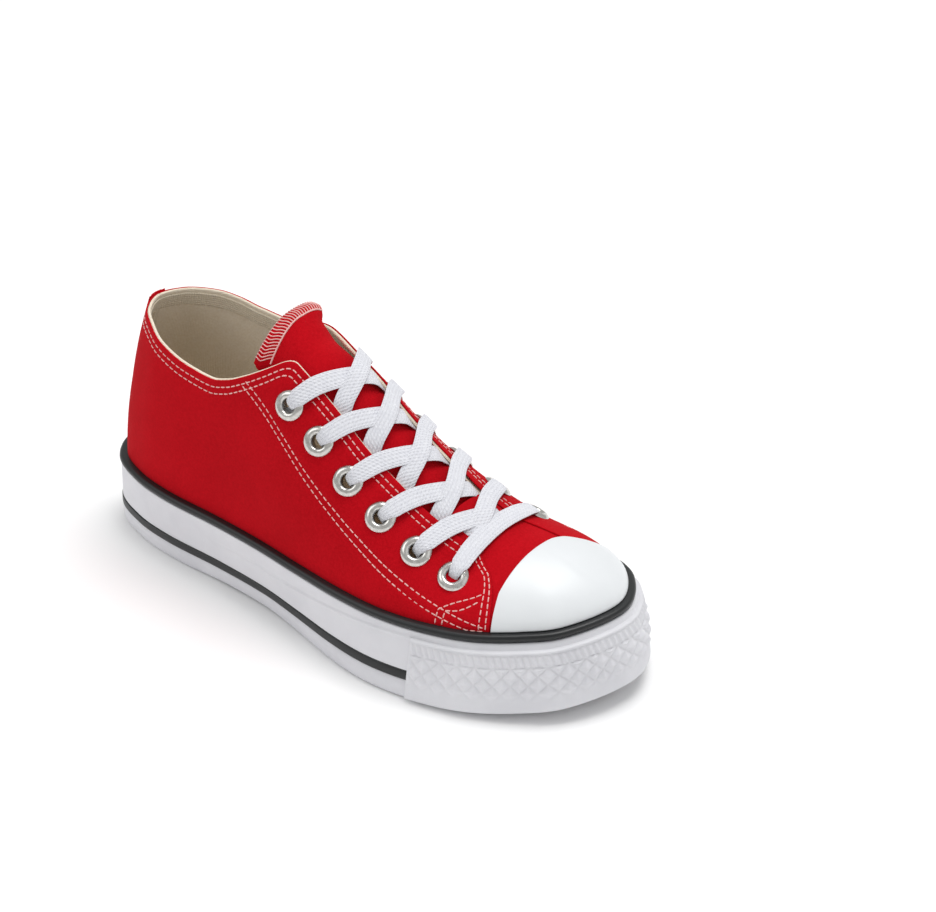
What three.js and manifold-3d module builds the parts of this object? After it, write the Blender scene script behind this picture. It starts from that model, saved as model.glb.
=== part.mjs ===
// Lace-up canvas shoe for the right foot, standing empty on its sole.
// Millimetres, +Z up, +X towards the toe, +Y towards the inner (medial) side.
import * as THREE from 'three';
import { mergeVertices } from 'three/addons/utils/BufferGeometryUtils.js';
import Module from 'manifold-3d';

const wasm = await Module();
wasm.setup();

// ---------- driving dimensions ----------
const gap = 0.3; // clearance between neighbouring pieces
const weltZ = 32.4; // height of the welt's lower edge above the ground
const weltTall = 3.4;
const weltProud = 0.7; // how far the welt stands out of the foxing
const foxingThick = 3.0;
const stripeBottom = 9.6;
const stripeTop = 13.5;
const stripeProud = 0.25;
const coreTop = 20; // top of the sole inside the foxing
const toeSpring = 6.5;
const springStart = 185;
const archRise = 1.5;
const archFrom = 78;
const archTo = 140;
const soleBevel = 1.4;
const treadDepth = 1.7;
const treadWidth = 2.4;
const treadPitch = 9.5;
const treadRim = 8; // plain rubber round the tread field
const bumperStart = 195; // the toe bumper covers everything ahead of this
const bumperThick = 1.3;
const bumperTop = 29.2;
const toeBulge = 0.6; // below 1 the toe's wall bellies out near its top
const bumperBottom = 1.2;
const wall = 2.0; // canvas and lining of the upper
const sectionBase = weltZ + weltTall / 2;
const heelCentre = 36; // the heel's spokes meet here
const toeCentre = 214; // the toe's spokes meet here
const counterLean = 11; // the heel's back leans forward by this at leanHeight
const leanHeight = 80;
const leanReach = 62;
const throatEnd = 210;
const throatRound = 10; // length of the rounded front end of the throat
const capThick = 1.1;
const insoleThick = 4;
const tongueThick = 2.2;
const tongueClear = 0.8; // room between the tongue and the facings over it
const eyeletOuter = 6.3;
const eyeletBore = 2.8;
const eyeletWall = 0.6;
const eyeletFromEdge = 16.5;
const laceWide = 8;
const laceThick = 0.9;

// Half widths of the sole at the welt, from heel (x = 0) to toe.
const plan = [
  { x: 8, lateral: 16.8, medial: 16.8 },
  { x: 26, lateral: 26.8, medial: 26.8 },
  { x: 47, lateral: 31.7, medial: 31.7 },
  { x: 79, lateral: 34.4, medial: 30.6 },
  { x: 105, lateral: 37.5, medial: 29.8 },
  { x: 131, lateral: 42.0, medial: 32.6 },
  { x: 157, lateral: 45.9, medial: 39.9 },
  { x: 178, lateral: 46.9, medial: 46.3 },
  { x: 199, lateral: 44.2, medial: 50.4 },
  { x: 220, lateral: 38.4, medial: 50.0 },
  { x: 238, lateral: 28.2, medial: 44.6 },
  { x: 251, lateral: 17.2, medial: 35.8 },
];
const toeTip = { x: 262, y: 13 };

// The last's cross-sections: height of the ridge, how full the shoulder is on each side,
// how far up the side stays steep, and where the ridge lies across the foot.
const sections = [
  { x: 36, ridge: 172, lateral: 0.52, medial: 0.52, side: 0.62, centre: 1 },
  { x: 70, ridge: 160, lateral: 0.52, medial: 0.6, side: 0.62, centre: 0 },
  { x: 105, ridge: 134, lateral: 0.6, medial: 0.68, side: 0.62, centre: -1 },
  { x: 120, ridge: 122, lateral: 0.58, medial: 0.74, side: 0.6, centre: -2 },
  { x: 134, ridge: 111, lateral: 0.53, medial: 0.78, side: 0.56, centre: -2 },
  { x: 150, ridge: 97, lateral: 0.46, medial: 0.72, side: 0.51, centre: -2 },
  { x: 167, ridge: 84, lateral: 0.41, medial: 0.61, side: 0.49, centre: -1 },
  { x: 186, ridge: 71, lateral: 0.39, medial: 0.54, side: 0.48, centre: 0 },
  { x: 204, ridge: 61.5, lateral: 0.43, medial: 0.49, side: 0.49, centre: 3 },
  { x: 214, ridge: 59, lateral: 0.5, medial: 0.46, side: 0.52, centre: 6 },
];

// Height of the topline round the ankle, and half the throat's opening.
const topline = [
  { x: 3, lateral: 114, medial: 114 },
  { x: 20, lateral: 111.5, medial: 113.5 },
  { x: 30, lateral: 109, medial: 113 },
  { x: 45, lateral: 105.2, medial: 111.5 },
  { x: 60, lateral: 102.4, medial: 110 },
  { x: 73, lateral: 101.2, medial: 110 },
  { x: 82, lateral: 103.5, medial: 111.5 },
  { x: 90, lateral: 107.4, medial: 114.5 },
  { x: 102, lateral: 114.4, medial: 120.5 },
  { x: 112, lateral: 120.6, medial: 125.5 },
  { x: 126, lateral: 128.5, medial: 131 },
];
const throat = [
  { x: 90, half: 19 },
  { x: 120, half: 15.5 },
  { x: 150, half: 15.3 },
  { x: 175, half: 15.3 },
  { x: 190, half: 14.5 },
];
const soleFlare = [
  { x: 0, out: 1 },
  { x: 26, out: -1 },
  { x: 105, out: -2.6 },
  { x: 178, out: 5 },
  { x: 262, out: 8 },
];
// Rear edge of the toe cap, where x is the distance across from the ridge line.
const capRear = [
  { x: -38, rear: 226 },
  { x: -34, rear: 224.3 },
  { x: -28, rear: 222.8 },
  { x: -12, rear: 222 },
  { x: 6, rear: 222.8 },
  { x: 13, rear: 224.6 },
  { x: 20, rear: 229.5 },
  { x: 27, rear: 234.5 },
  { x: 38, rear: 239 },
];
const eyeletRows = [116, 132.5, 149, 166.5, 185, 202.5];
const crossingAt = [1, 0.95, 0.9, 0.82, 0.52]; // each crossing's place between its two rows

// The tongue above the throat: half widths and drops to the lateral and medial sides,
// which join the last's shape further down.
const tongueRows = [
  { x: 95, crown: 130, outer: 25, inner: 17, lateral: 16, medial: 4, centre: 1 },
  { x: 98, crown: 130, outer: 22.5, inner: 16.5, lateral: 15.5, medial: 4, centre: 1 },
  { x: 101, crown: 128.5, outer: 20.5, inner: 15, lateral: 15, medial: 3.5, centre: 0.5 },
  { x: 104, crown: 126, outer: 18.5, inner: 11.8, lateral: 14, medial: 3.5, centre: 0 },
  { x: 108, crown: 123, outer: 19, inner: 11.4, lateral: 14, medial: 3.5, centre: -0.4 },
  { x: 112, crown: 119.8, outer: 18.5, inner: 13, lateral: 14, medial: 6, centre: -1 },
  { x: 120, crown: 115, outer: 18, inner: 16, lateral: 14, medial: 10, centre: -2 },
  { x: 134, crown: 106, outer: 19.5, inner: 19.5, lateral: 12, medial: 12, centre: -2 },
  { x: 160, crown: 85, outer: 19, inner: 19, lateral: 10, medial: 10, centre: -2 },
  { x: 200, crown: 58, outer: 16, inner: 16, lateral: 6, medial: 6, centre: 2 },
];
const medialRoll = 3.4; // how late the tongue's medial side turns down, 2 being a plain arch

// ---------- small helpers ----------
const clamp = (v, low, high) => Math.min(Math.max(v, low), high);
const mix = (a, b, k) => a + (b - a) * k;
const smooth = (v) => v * v * (3 - 2 * v);
const step = (from, to, v) => smooth(clamp((v - from) / (to - from), 0, 1));

// Monotone cubic through one named column of a table.
function column(table, name, x) {
  const slope = (i) => (table[i + 1][name] - table[i][name]) / (table[i + 1].x - table[i].x);
  const last = table.length - 1;
  const tangent = (i) => {
    if (i === 0) return slope(0);
    if (i === last) return slope(last - 1);
    const before = slope(i - 1);
    const after = slope(i);
    return before * after <= 0 ? 0 : (2 * before * after) / (before + after);
  };
  const at = clamp(x, table[0].x, table[last].x);
  let i = 0;
  while (i < last - 1 && table[i + 1].x < at) i += 1;
  const span = table[i + 1].x - table[i].x;
  const s = (at - table[i].x) / span;
  const start = table[i][name] * (1 + 2 * s) * (1 - s) ** 2 + span * tangent(i) * s * (1 - s) ** 2;
  const end = table[i + 1][name] * s * s * (3 - 2 * s) + span * tangent(i + 1) * s * s * (s - 1);
  return start + end;
}

// Value of v in [low, high] where a rising function reaches target.
function solve(rising, target, low, high) {
  let a = low;
  let b = high;
  for (let i = 0; i < 40; i += 1) {
    const middle = (a + b) / 2;
    if (rising(middle) < target) a = middle;
    else b = middle;
  }
  return (a + b) / 2;
}

// ---------- plan outline ----------
const outlineCurve = new THREE.CatmullRomCurve3(
  [
    new THREE.Vector3(0, 0, 0),
    ...plan.map((row) => new THREE.Vector3(row.x, -row.lateral, 0)),
    new THREE.Vector3(toeTip.x, toeTip.y, 0),
    ...[...plan].reverse().map((row) => new THREE.Vector3(row.x, row.medial, 0)),
  ],
  true,
  'centripetal',
);
const wrap = (u) => ((u % 1) + 1) % 1;

function outwardAt(u) {
  const e = 1e-3;
  const t = outlineCurve.getPoint(wrap(u + e)).sub(outlineCurve.getPoint(wrap(u - e)));
  return new THREE.Vector2(t.y, -t.x).normalize();
}

// Point of the outline moved outward by some distance.
function outlineAt(u, out) {
  const p = outlineCurve.getPoint(wrap(u));
  const n = outwardAt(u);
  return new THREE.Vector2(p.x + n.x * out, p.y + n.y * out);
}

// Parameters round an outline, paired so that both sides share the same x: heel, lateral
// side to the toe, then medial side back. The middle stations suit the upper's features.
const middleStations = [
  46, 58, 70, 82, 92, 99, 105, 110, 115, 120, 127, 134,
  142, 150, 158, 167, 176, 186, 194, 201, 206, 209, throatEnd,
];
const heelSteps = 5;
const toeSteps = 7;

function ringStations(out) {
  let heel = 0;
  let toe = 0.5;
  for (let u = -0.05; u < 0.05; u += 0.001) {
    if (outlineAt(u, out).x < outlineAt(heel, out).x) heel = u;
    if (outlineAt(u + 0.5, out).x > outlineAt(toe, out).x) toe = u + 0.5;
  }
  const first = outlineAt(heel, out).x;
  const last = outlineAt(toe, out).x;
  const xs = [];
  for (let i = 1; i <= heelSteps; i += 1) {
    xs.push(heelCentre - (heelCentre - first) * Math.cos((i / heelSteps) * (Math.PI / 2)));
  }
  xs.push(...middleStations);
  for (let i = 0; i < toeSteps; i += 1) {
    xs.push(toeCentre + (last - toeCentre) * Math.sin((i / toeSteps) * (Math.PI / 2)));
  }
  const lateral = xs.map((x) => solve((u) => outlineAt(u, out).x, x, heel, toe));
  const medial = xs.map((x) => solve((u) => -outlineAt(u, out).x, -x, toe, heel + 1));
  return { ring: [heel, ...lateral, toe, ...medial.reverse()], pairs: xs.length };
}

const spring = (x) => toeSpring * (Math.max(x - springStart, 0) / (toeTip.x - springStart)) ** 2;
const arch = (x) => archRise * step(archFrom - 20, archFrom + 10, x) * (1 - step(archTo - 32, archTo, x));
function flareAt(x, z) {
  const bulge = mix(1, toeBulge, step(190, 245, x));
  return column(soleFlare, 'out', x) * clamp(1 - z / weltZ, 0, 1) ** bulge;
}

// ---------- the last: one surface for upper, cap, tongue, eyelets and laces ----------
const upperInset = foxingThick + gap;

// u runs round the shoe, t from the welt (0) to the ridge (1), out is measured off the surface.
function basePoint(u) {
  return outlineAt(u, -upperInset);
}

function lastPoint(u, t) {
  const base = basePoint(u);
  const x = clamp(base.x, heelCentre, toeCentre);
  const y = column(sections, 'centre', x);
  const foot = sectionBase + spring(base.x);
  const tall = column(sections, 'ridge', x) - foot;
  const full = column(sections, base.y < y ? 'lateral' : 'medial', x);
  const side = column(sections, 'side', x);
  const reach = Math.hypot(base.x - x, base.y - y);
  const s = 1 - t;
  const far = reach * s ** 3 + 3 * (reach + 1) * s * s * t + 3 * full * reach * s * t * t;
  const rise = tall * (3 * side * s * s * t + 3 * s * t * t + t ** 3);
  const px = x + ((base.x - x) / reach) * far;
  const py = y + ((base.y - y) / reach) * far;
  const lean = counterLean * step(leanReach, 5, px) * clamp(rise / leanHeight, 0, 1.2) ** 1.5;
  return new THREE.Vector3(px + lean, py, foot + rise);
}

function lastNormal(u, t) {
  const e = 1e-3;
  const x = basePoint(u).x;
  if (t > 0.999) {
    const at = clamp(x, heelCentre, toeCentre - 1);
    const rise = (column(sections, 'ridge', at + 1) - column(sections, 'ridge', at - 1)) / 2;
    return new THREE.Vector3(-rise, 0, 1).normalize();
  }
  const along = lastPoint(u + e, t).sub(lastPoint(u - e, t));
  const up = lastPoint(u, t + e).sub(lastPoint(u, Math.max(t - e, 0)));
  return along.cross(up).normalize();
}

const offLast = (u, t, out) => lastPoint(u, t).addScaledVector(lastNormal(u, t), out);

// Where the section at u reaches a height, or a distance from the ridge line.
const tAtHeight = (u, z) => solve((t) => lastPoint(u, t).z, z, 0, 1);
const ridgeY = (x) => column(sections, 'centre', clamp(x, heelCentre, toeCentre));
function tAtHalf(u, half) {
  return solve((t) => -Math.abs(lastPoint(u, t).y - ridgeY(basePoint(u).x)), -half, 0.02, 1);
}

function throatHalf(x) {
  const rounded = clamp((x - throatEnd + throatRound) / throatRound, 0, 1);
  return column(throat, 'half', x) * Math.sqrt(1 - rounded ** 2);
}

// Parameter of the upper's top edge: the topline, then the throat, with a rounded corner.
function topEdge(u) {
  const base = basePoint(u);
  if (base.x >= throatEnd - 1e-6) return 1;
  const side = base.y < ridgeY(base.x) ? 'lateral' : 'medial';
  const collar = tAtHeight(u, column(topline, side, base.x));
  if (base.x < 88) return collar;
  const edge = tAtHalf(u, throatHalf(base.x));
  const blend = 0.07;
  const k = clamp(0.5 + (edge - collar) / (2 * blend), 0, 1);
  return mix(edge, collar, k) - blend * k * (1 - k);
}

const sideU = new Map();
function uAtX(x, side) {
  const key = `${side}${x}`;
  if (!sideU.has(key)) {
    const lateral = () => solve((u) => basePoint(u).x, x, 0, 0.5);
    const medial = () => solve((u) => -basePoint(u).x, -x, 0.5, 1);
    sideU.set(key, side < 0 ? lateral() : medial());
  }
  return sideU.get(key);
}

// ---------- mesh building ----------
function closedGeometry(triangles) {
  const flat = triangles.flatMap((p) => [p.x, p.y, p.z]);
  const loose = new THREE.BufferGeometry();
  loose.setAttribute('position', new THREE.Float32BufferAttribute(flat, 3));
  const merged = mergeVertices(loose, 2e-3);
  const kept = [];
  const index = merged.getIndex().array;
  for (let i = 0; i < index.length; i += 3) {
    const [a, b, c] = [index[i], index[i + 1], index[i + 2]];
    if (a !== b && b !== c && c !== a) kept.push(a, b, c);
  }
  merged.setIndex(kept);
  return merged;
}

const quad = (a, b, c, d) => [a, b, c, a, c, d];

// Sweeps closed loops of equal length; the loops close into a ring or get flat ends.
function sweepLoops(loops, isRing) {
  const triangles = [];
  const count = isRing ? loops.length : loops.length - 1;
  for (let i = 0; i < count; i += 1) {
    const here = loops[i];
    const next = loops[(i + 1) % loops.length];
    for (let j = 0; j < here.length; j += 1) {
      const k = (j + 1) % here.length;
      triangles.push(...quad(here[j], next[j], next[k], here[k]));
    }
  }
  if (!isRing) {
    for (const [loop, flip] of [[loops[0], false], [loops[loops.length - 1], true]]) {
      for (let j = 1; j < loop.length - 1; j += 1) {
        triangles.push(...(flip ? [loop[0], loop[j + 1], loop[j]] : [loop[0], loop[j], loop[j + 1]]));
      }
    }
  }
  return closedGeometry(triangles);
}

// A sheet from two grids of points, outer[i][j] and inner[i][j], with its edges closed.
function sheetBetween(outer, inner, isRing, topOpen) {
  const triangles = [];
  const rows = outer[0].length;
  const count = isRing ? outer.length : outer.length - 1;
  for (let i = 0; i < count; i += 1) {
    const k = (i + 1) % outer.length;
    for (let j = 0; j < rows - 1; j += 1) {
      triangles.push(...quad(outer[i][j], outer[k][j], outer[k][j + 1], outer[i][j + 1]));
      triangles.push(...quad(inner[i][j], inner[i][j + 1], inner[k][j + 1], inner[k][j]));
    }
    triangles.push(...quad(outer[i][0], inner[i][0], inner[k][0], outer[k][0]));
    if (topOpen(i) || topOpen(k)) {
      const j = rows - 1;
      triangles.push(...quad(outer[i][j], outer[k][j], inner[k][j], inner[i][j]));
    }
  }
  if (!isRing) {
    const end = outer.length - 1;
    for (let j = 0; j < rows - 1; j += 1) {
      triangles.push(...quad(outer[0][j], outer[0][j + 1], inner[0][j + 1], inner[0][j]));
      triangles.push(...quad(outer[end][j], inner[end][j], inner[end][j + 1], outer[end][j + 1]));
    }
  }
  return closedGeometry(triangles);
}

// A plate whose rim is a stack of rings, closed below and above by strips across the foot.
function plateFromRings(rings, pairs) {
  const triangles = [];
  const n = rings[0].length;
  for (let level = 0; level < rings.length - 1; level += 1) {
    const low = rings[level];
    const high = rings[level + 1];
    for (let i = 0; i < n; i += 1) {
      const k = (i + 1) % n;
      triangles.push(...quad(low[i], low[k], high[k], high[i]));
    }
  }
  const bottom = rings[0];
  const top = rings[rings.length - 1];
  for (let i = 0; i <= pairs; i += 1) {
    const [a, b] = [i, i + 1];
    const [c, d] = [(n - i - 1) % n, (n - i) % n];
    triangles.push(...quad(bottom[a], bottom[d], bottom[c], bottom[b]));
    triangles.push(...quad(top[a], top[b], top[c], top[d]));
  }
  return closedGeometry(triangles);
}

function toManifold(geometry) {
  const bare = geometry.clone();
  bare.deleteAttribute('normal');
  bare.deleteAttribute('uv');
  const merged = mergeVertices(bare, 1e-4);
  return new wasm.Manifold(
    new wasm.Mesh({
      numProp: 3,
      vertProperties: new Float32Array(merged.attributes.position.array),
      triVerts: new Uint32Array(merged.getIndex().array),
    }),
  );
}

function fromManifold(solid) {
  const mesh = solid.getMesh();
  const geometry = new THREE.BufferGeometry();
  geometry.setAttribute('position', new THREE.BufferAttribute(mesh.vertProperties, 3));
  geometry.setIndex(new THREE.BufferAttribute(mesh.triVerts, 1));
  return geometry;
}

// ---------- sole ----------
const soleRing = ringStations(0);
const bumperFirst = soleRing.ring.findIndex((u) => outlineAt(u, 0).x > bumperStart - 2.5);
const bumperLast = soleRing.ring.length - bumperFirst;

// Point on the sole's side wall, proud by out, at height z above the local ground line.
function wallPoint(u, z, out) {
  const p = outlineAt(u, flareAt(outlineAt(u, 0).x, z) + out);
  return new THREE.Vector3(p.x, p.y, z + spring(p.x));
}

// The same at a fixed distance inside the welt outline.
function innerPoint(u, z, inset) {
  const p = outlineAt(u, -inset);
  return new THREE.Vector3(p.x, p.y, z + spring(p.x));
}

function zigzagCutter(x, half) {
  const teeth = 8;
  const swing = treadPitch * 0.3;
  const front = [];
  const back = [];
  for (let i = 0; i <= teeth; i += 1) {
    const y = mix(-half, half, i / teeth);
    const kink = i % 2 ? swing : -swing;
    front.push(new THREE.Vector2(x + kink + treadWidth / 2, y));
    back.unshift(new THREE.Vector2(x + kink - treadWidth / 2, y));
  }
  const shape = new THREE.Shape([...front, ...back]);
  const cutter = new THREE.ExtrudeGeometry(shape, { depth: 4 + treadDepth, bevelEnabled: false });
  cutter.translate(0, 0, -4);
  const place = cutter.attributes.position;
  for (let i = 0; i < place.count; i += 1) {
    place.setZ(i, place.getZ(i) + spring(place.getX(i)));
  }
  return toManifold(cutter);
}

function treadField() {
  const { ring, pairs } = ringStations(-treadRim);
  const level = (z) => ring.map((u) => {
    const p = outlineAt(u, -treadRim);
    return new THREE.Vector3(p.x, p.y, z);
  });
  return toManifold(plateFromRings([level(-5), level(15)], pairs));
}

function makeOutsole() {
  const { ring, pairs } = soleRing;
  const inner = foxingThick + gap;
  const slabTop = stripeBottom - gap;
  const under = (u, z, out) => {
    // ahead of the bumper's edge the slab shrinks to leave room for the bumper
    const tuck = outlineAt(u, 0).x > bumperStart - 6 ? gap : 0;
    const p = wallPoint(u, z, out - tuck);
    p.z += z === 0 ? arch(p.x) : 0;
    return p;
  };
  const slab = plateFromRings(
    [
      ring.map((u) => under(u, 0, -soleBevel)),
      ring.map((u) => under(u, soleBevel, -0.2)),
      ring.map((u) => under(u, slabTop, -0.2)),
      ring.map((u) => innerPoint(u, slabTop, inner)),
      ring.map((u) => innerPoint(u, coreTop, inner)),
    ],
    pairs,
  );
  let cutters = null;
  for (const [from, to] of [[28, 62], [160, 236]]) {
    for (let x = from; x <= to; x += treadPitch) {
      const cutter = zigzagCutter(x, 60);
      cutters = cutters ? cutters.add(cutter) : cutter;
    }
  }
  return fromManifold(toManifold(slab).subtract(cutters.intersect(treadField())));
}

function makeFoxing() {
  const low = stripeTop + gap;
  const high = weltZ - gap;
  const loops = soleRing.ring.map((u, i) => {
    const tuck = i > bumperFirst - 1 && i < bumperLast + 1 ? gap : 0;
    const bottom = tuck ? stripeBottom : low;
    return [
      innerPoint(u, bottom, foxingThick),
      wallPoint(u, bottom, -tuck),
      wallPoint(u, bumperTop, -tuck),
      wallPoint(u, high, 0),
      innerPoint(u, high, foxingThick),
    ];
  });
  return sweepLoops(loops, true);
}

// Black line low on the side, from the bumper's outer edge round the heel to its inner edge.
function makeStripe() {
  const ring = soleRing.ring;
  const stations = [...ring.slice(bumperLast + 1), ...ring.slice(0, bumperFirst)];
  const loops = stations.map((u) => [
    innerPoint(u, stripeBottom, foxingThick),
    wallPoint(u, stripeBottom, stripeProud),
    wallPoint(u, stripeTop, stripeProud),
    innerPoint(u, stripeTop, foxingThick),
  ]);
  return sweepLoops(loops, false);
}

function makeWelt() {
  const sides = 4;
  const loops = soleRing.ring.map((u) => {
    const loop = [innerPoint(u, weltZ, foxingThick)];
    for (let i = 0; i <= sides; i += 1) {
      const angle = mix(-Math.PI / 2, Math.PI / 2, i / sides);
      const out = -weltTall / 2 + weltProud + (Math.cos(angle) * weltTall) / 2;
      loop.push(innerPoint(u, weltZ + (weltTall / 2) * (1 + Math.sin(angle)), -out));
    }
    loop.push(innerPoint(u, weltZ + weltTall, foxingThick));
    return loop;
  });
  return sweepLoops(loops, true);
}

function makeBumper() {
  const stations = soleRing.ring.slice(bumperFirst, bumperLast + 1);
  const loops = stations.map((u) => [
    wallPoint(u, soleBevel + bumperBottom, 0),
    wallPoint(u, soleBevel + bumperBottom - 1, bumperThick - 0.6),
    wallPoint(u, soleBevel + bumperBottom + 1, bumperThick),
    wallPoint(u, bumperTop - 3, bumperThick),
    wallPoint(u, bumperTop - 1, 0.7),
    wallPoint(u, bumperTop - 1, 0),
    wallPoint(u, stripeBottom, 0),
  ]);
  return sweepLoops(loops, false);
}

// ---------- upper ----------
const upperRing = ringStations(-upperInset);
const wallRows = 8;

function upperColumn(u, out) {
  const top = topEdge(u);
  const foot = lastPoint(u, 0);
  const n = lastNormal(u, 0.001);
  const low = coreTop + gap + spring(foot.x);
  const points = [new THREE.Vector3(foot.x, foot.y, low)];
  points[0].addScaledVector(new THREE.Vector3(n.x, n.y, 0).normalize(), out);
  for (let j = 0; j <= wallRows; j += 1) points.push(offLast(u, (top * j) / wallRows, out));
  return points;
}

// Where a column reaches the ridge, both sides of the foot share one point.
function joinAtRidge(grid) {
  const n = grid.length;
  const toe = upperRing.ring.length / 2;
  const apex = middleStations.length + heelSteps + 1;
  for (let i = 0; i < n; i += 1) {
    if (topEdge(upperRing.ring[i]) < 1) continue;
    const twin = i <= toe ? (n - i) % n : i;
    const lead = Math.min(i, n - i, apex);
    grid[i][grid[i].length - 1] = grid[lead][grid[lead].length - 1];
    grid[twin][grid[twin].length - 1] = grid[lead][grid[lead].length - 1];
  }
  return grid;
}

// ---------- eyelets ----------
// Position and outward direction of an eyelet: down the section from the throat's edge.
function eyeletPlace(x, side) {
  const u = uAtX(x, side);
  let t = tAtHalf(u, column(throat, 'half', x));
  let gone = 0;
  let here = lastPoint(u, t);
  while (gone < eyeletFromEdge) {
    t -= 0.002;
    const next = lastPoint(u, t);
    gone += next.distanceTo(here);
    here = next;
  }
  return { point: here, normal: lastNormal(u, t), u, t };
}

const turnTo = (normal) => new THREE.Quaternion().setFromUnitVectors(new THREE.Vector3(0, 0, 1), normal);

function eyeletHole(place) {
  const tool = new THREE.CylinderGeometry(eyeletBore + eyeletWall + gap, eyeletBore + eyeletWall + gap, 12, 8);
  tool.rotateX(Math.PI / 2);
  tool.applyQuaternion(turnTo(place.normal));
  tool.translate(place.point.x, place.point.y, place.point.z);
  return toManifold(tool);
}

const eyeletPlaces = [];
eyeletRows.forEach((x, row) => {
  for (const side of [-1, 1]) eyeletPlaces.push({ row, side, ...eyeletPlace(x, side) });
});
const eyeletOf = (row, side) => eyeletPlaces.find((p) => p.row === row && p.side === side);

function makeUpper() {
  const ring = upperRing.ring;
  const outer = joinAtRidge(ring.map((u) => upperColumn(u, 0)));
  const inner = joinAtRidge(ring.map((u) => upperColumn(u, -wall)));
  const shell = sheetBetween(outer, inner, true, (i) => topEdge(ring[i]) < 1);
  let solid = toManifold(shell);
  for (const place of eyeletPlaces) solid = solid.subtract(eyeletHole(place));
  return fromManifold(solid);
}

const eyeletProfile = [
  [eyeletBore, -wall - 0.8],
  [eyeletBore + eyeletWall, -wall - 0.8],
  [eyeletBore + eyeletWall, gap],
  [eyeletOuter, gap + 0.3],
  [eyeletOuter - 1.4, gap + 1.2],
  [eyeletBore + 0.6, gap + 0.9],
];

function makeEyelet() {
  const points = eyeletProfile.map(([r, z]) => new THREE.Vector2(r, z));
  points.push(points[0].clone());
  const ring = new THREE.LatheGeometry(points, 9);
  ring.rotateX(Math.PI / 2);
  return ring;
}

// ---------- toe cap ----------
function capEdge(u) {
  const behind = (t) => {
    const p = lastPoint(u, t);
    return column(capRear, 'rear', p.y - ridgeY(toeCentre)) - p.x;
  };
  return solve(behind, 0, 0, 0.995);
}

function makeToeCap() {
  const rows = 7;
  const low = (u) => tAtHeight(u, weltZ + weltTall + gap + spring(basePoint(u).x));
  const least = 0.05; // a column shorter than this, as a share of the section, is left out
  const stations = upperRing.ring.filter((u) => basePoint(u).x > toeCentre && capEdge(u) > low(u) + least);
  const grid = (out) => stations.map((u) => {
    const from = low(u);
    const to = capEdge(u);
    return Array.from({ length: rows + 1 }, (_, j) => offLast(u, mix(from, to, j / rows), out));
  });
  return sheetBetween(grid(gap + capThick), grid(gap), false, () => true);
}

// ---------- tongue ----------
function tonguePoint(x, across, depth) {
  const half = column(tongueRows, across < 0 ? 'outer' : 'inner', x);
  const roll = Math.abs(across) ** (across < 0 ? 2 : medialRoll);
  const drop = column(tongueRows, across < 0 ? 'lateral' : 'medial', x) * roll;
  const free = new THREE.Vector3(
    x,
    column(tongueRows, 'centre', x) + across * half,
    column(tongueRows, 'crown', x) - drop - depth,
  );
  const at = Math.min(x, toeCentre - 1);
  const u = uAtX(at, across < 0 ? -1 : 1);
  const t = Math.min(tAtHalf(u, Math.abs(across) * half), 0.9995);
  const under = offLast(u, t, -wall - tongueClear - depth);
  return free.lerp(under, step(108, 126, x));
}

function makeTongue() {
  const xs = [95, 99, 104, 109, 114, 120, 127, 134, 146, 158, 170, 182, 194, 204, 213];
  const across = [1, 0.8, 0.55, 0.28, 0, -0.28, -0.55, -0.8, -1];
  // the free end has rounded corners
  const width = (x) => (x === xs[0] ? 0.88 : 1);
  const grid = (depth) => across.map((s) => xs.map((x) => tonguePoint(x, s * width(x), depth)));
  return sheetBetween(grid(0), grid(tongueThick), false, () => true);
}

// ---------- insole ----------
function makeInsole() {
  const inset = upperInset + wall + gap + 0.4;
  const { ring, pairs } = ringStations(-inset);
  const low = coreTop + gap;
  return plateFromRings(
    [
      ring.map((u) => innerPoint(u, low, inset)),
      ring.map((u) => innerPoint(u, low + insoleThick - 1, inset)),
      ring.map((u) => innerPoint(u, low + insoleThick, inset + 1)),
    ],
    pairs,
  );
}

// ---------- laces ----------
// Flat band along points, each with the direction that its face looks in.
function lacePiece(stops) {
  const path = new THREE.CatmullRomCurve3(stops.map((s) => s.point), false, 'centripetal');
  const steps = 10;
  const loops = [];
  for (let i = 0; i <= steps; i += 1) {
    const k = i / steps;
    const place = k * (stops.length - 1);
    const lead = Math.min(Math.floor(place), stops.length - 2);
    const face = stops[lead].face.clone().lerp(stops[lead + 1].face, place - lead).normalize();
    const point = path.getPoint(k);
    const along = path.getTangent(k);
    const wide = face.clone().cross(along).normalize();
    const flat = along.clone().cross(wide).normalize();
    const corner = (w, h) => point.clone().addScaledVector(wide, w * laceWide / 2)
      .addScaledVector(flat, (h * laceThick) / 2);
    loops.push([corner(-1, -1), corner(1, -1), corner(1, 1), corner(-1, 1)]);
  }
  return sweepLoops(loops.reverse(), false);
}

function laceStop(x, side, half, out) {
  const u = uAtX(x, side);
  const t = tAtHalf(u, half);
  return { point: offLast(u, t, out), face: lastNormal(u, t) };
}

const overFlange = 3.1;
function eyeletStop(row, side) {
  const place = eyeletOf(row, side);
  return { point: place.point.clone().addScaledVector(place.normal, overFlange), face: place.normal };
}

// From an eyelet over its own facing to under the other facing, one row further down.
function crossingStops(row, side) {
  const [x0, x1] = [eyeletRows[row], eyeletRows[row + 1]];
  const half = column(throat, 'half', (x0 + x1) / 2);
  return [
    eyeletStop(row, side),
    laceStop(mix(x0, x1, crossingAt[row] / 2), side, half + 2, 2.7),
    laceStop(mix(x0, x1, crossingAt[row]), side, 0.6, 1.2),
    laceStop(mix(x0, x1, crossingAt[row] + 0.22), -side, half - 4.5, -0.8),
  ];
}

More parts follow.
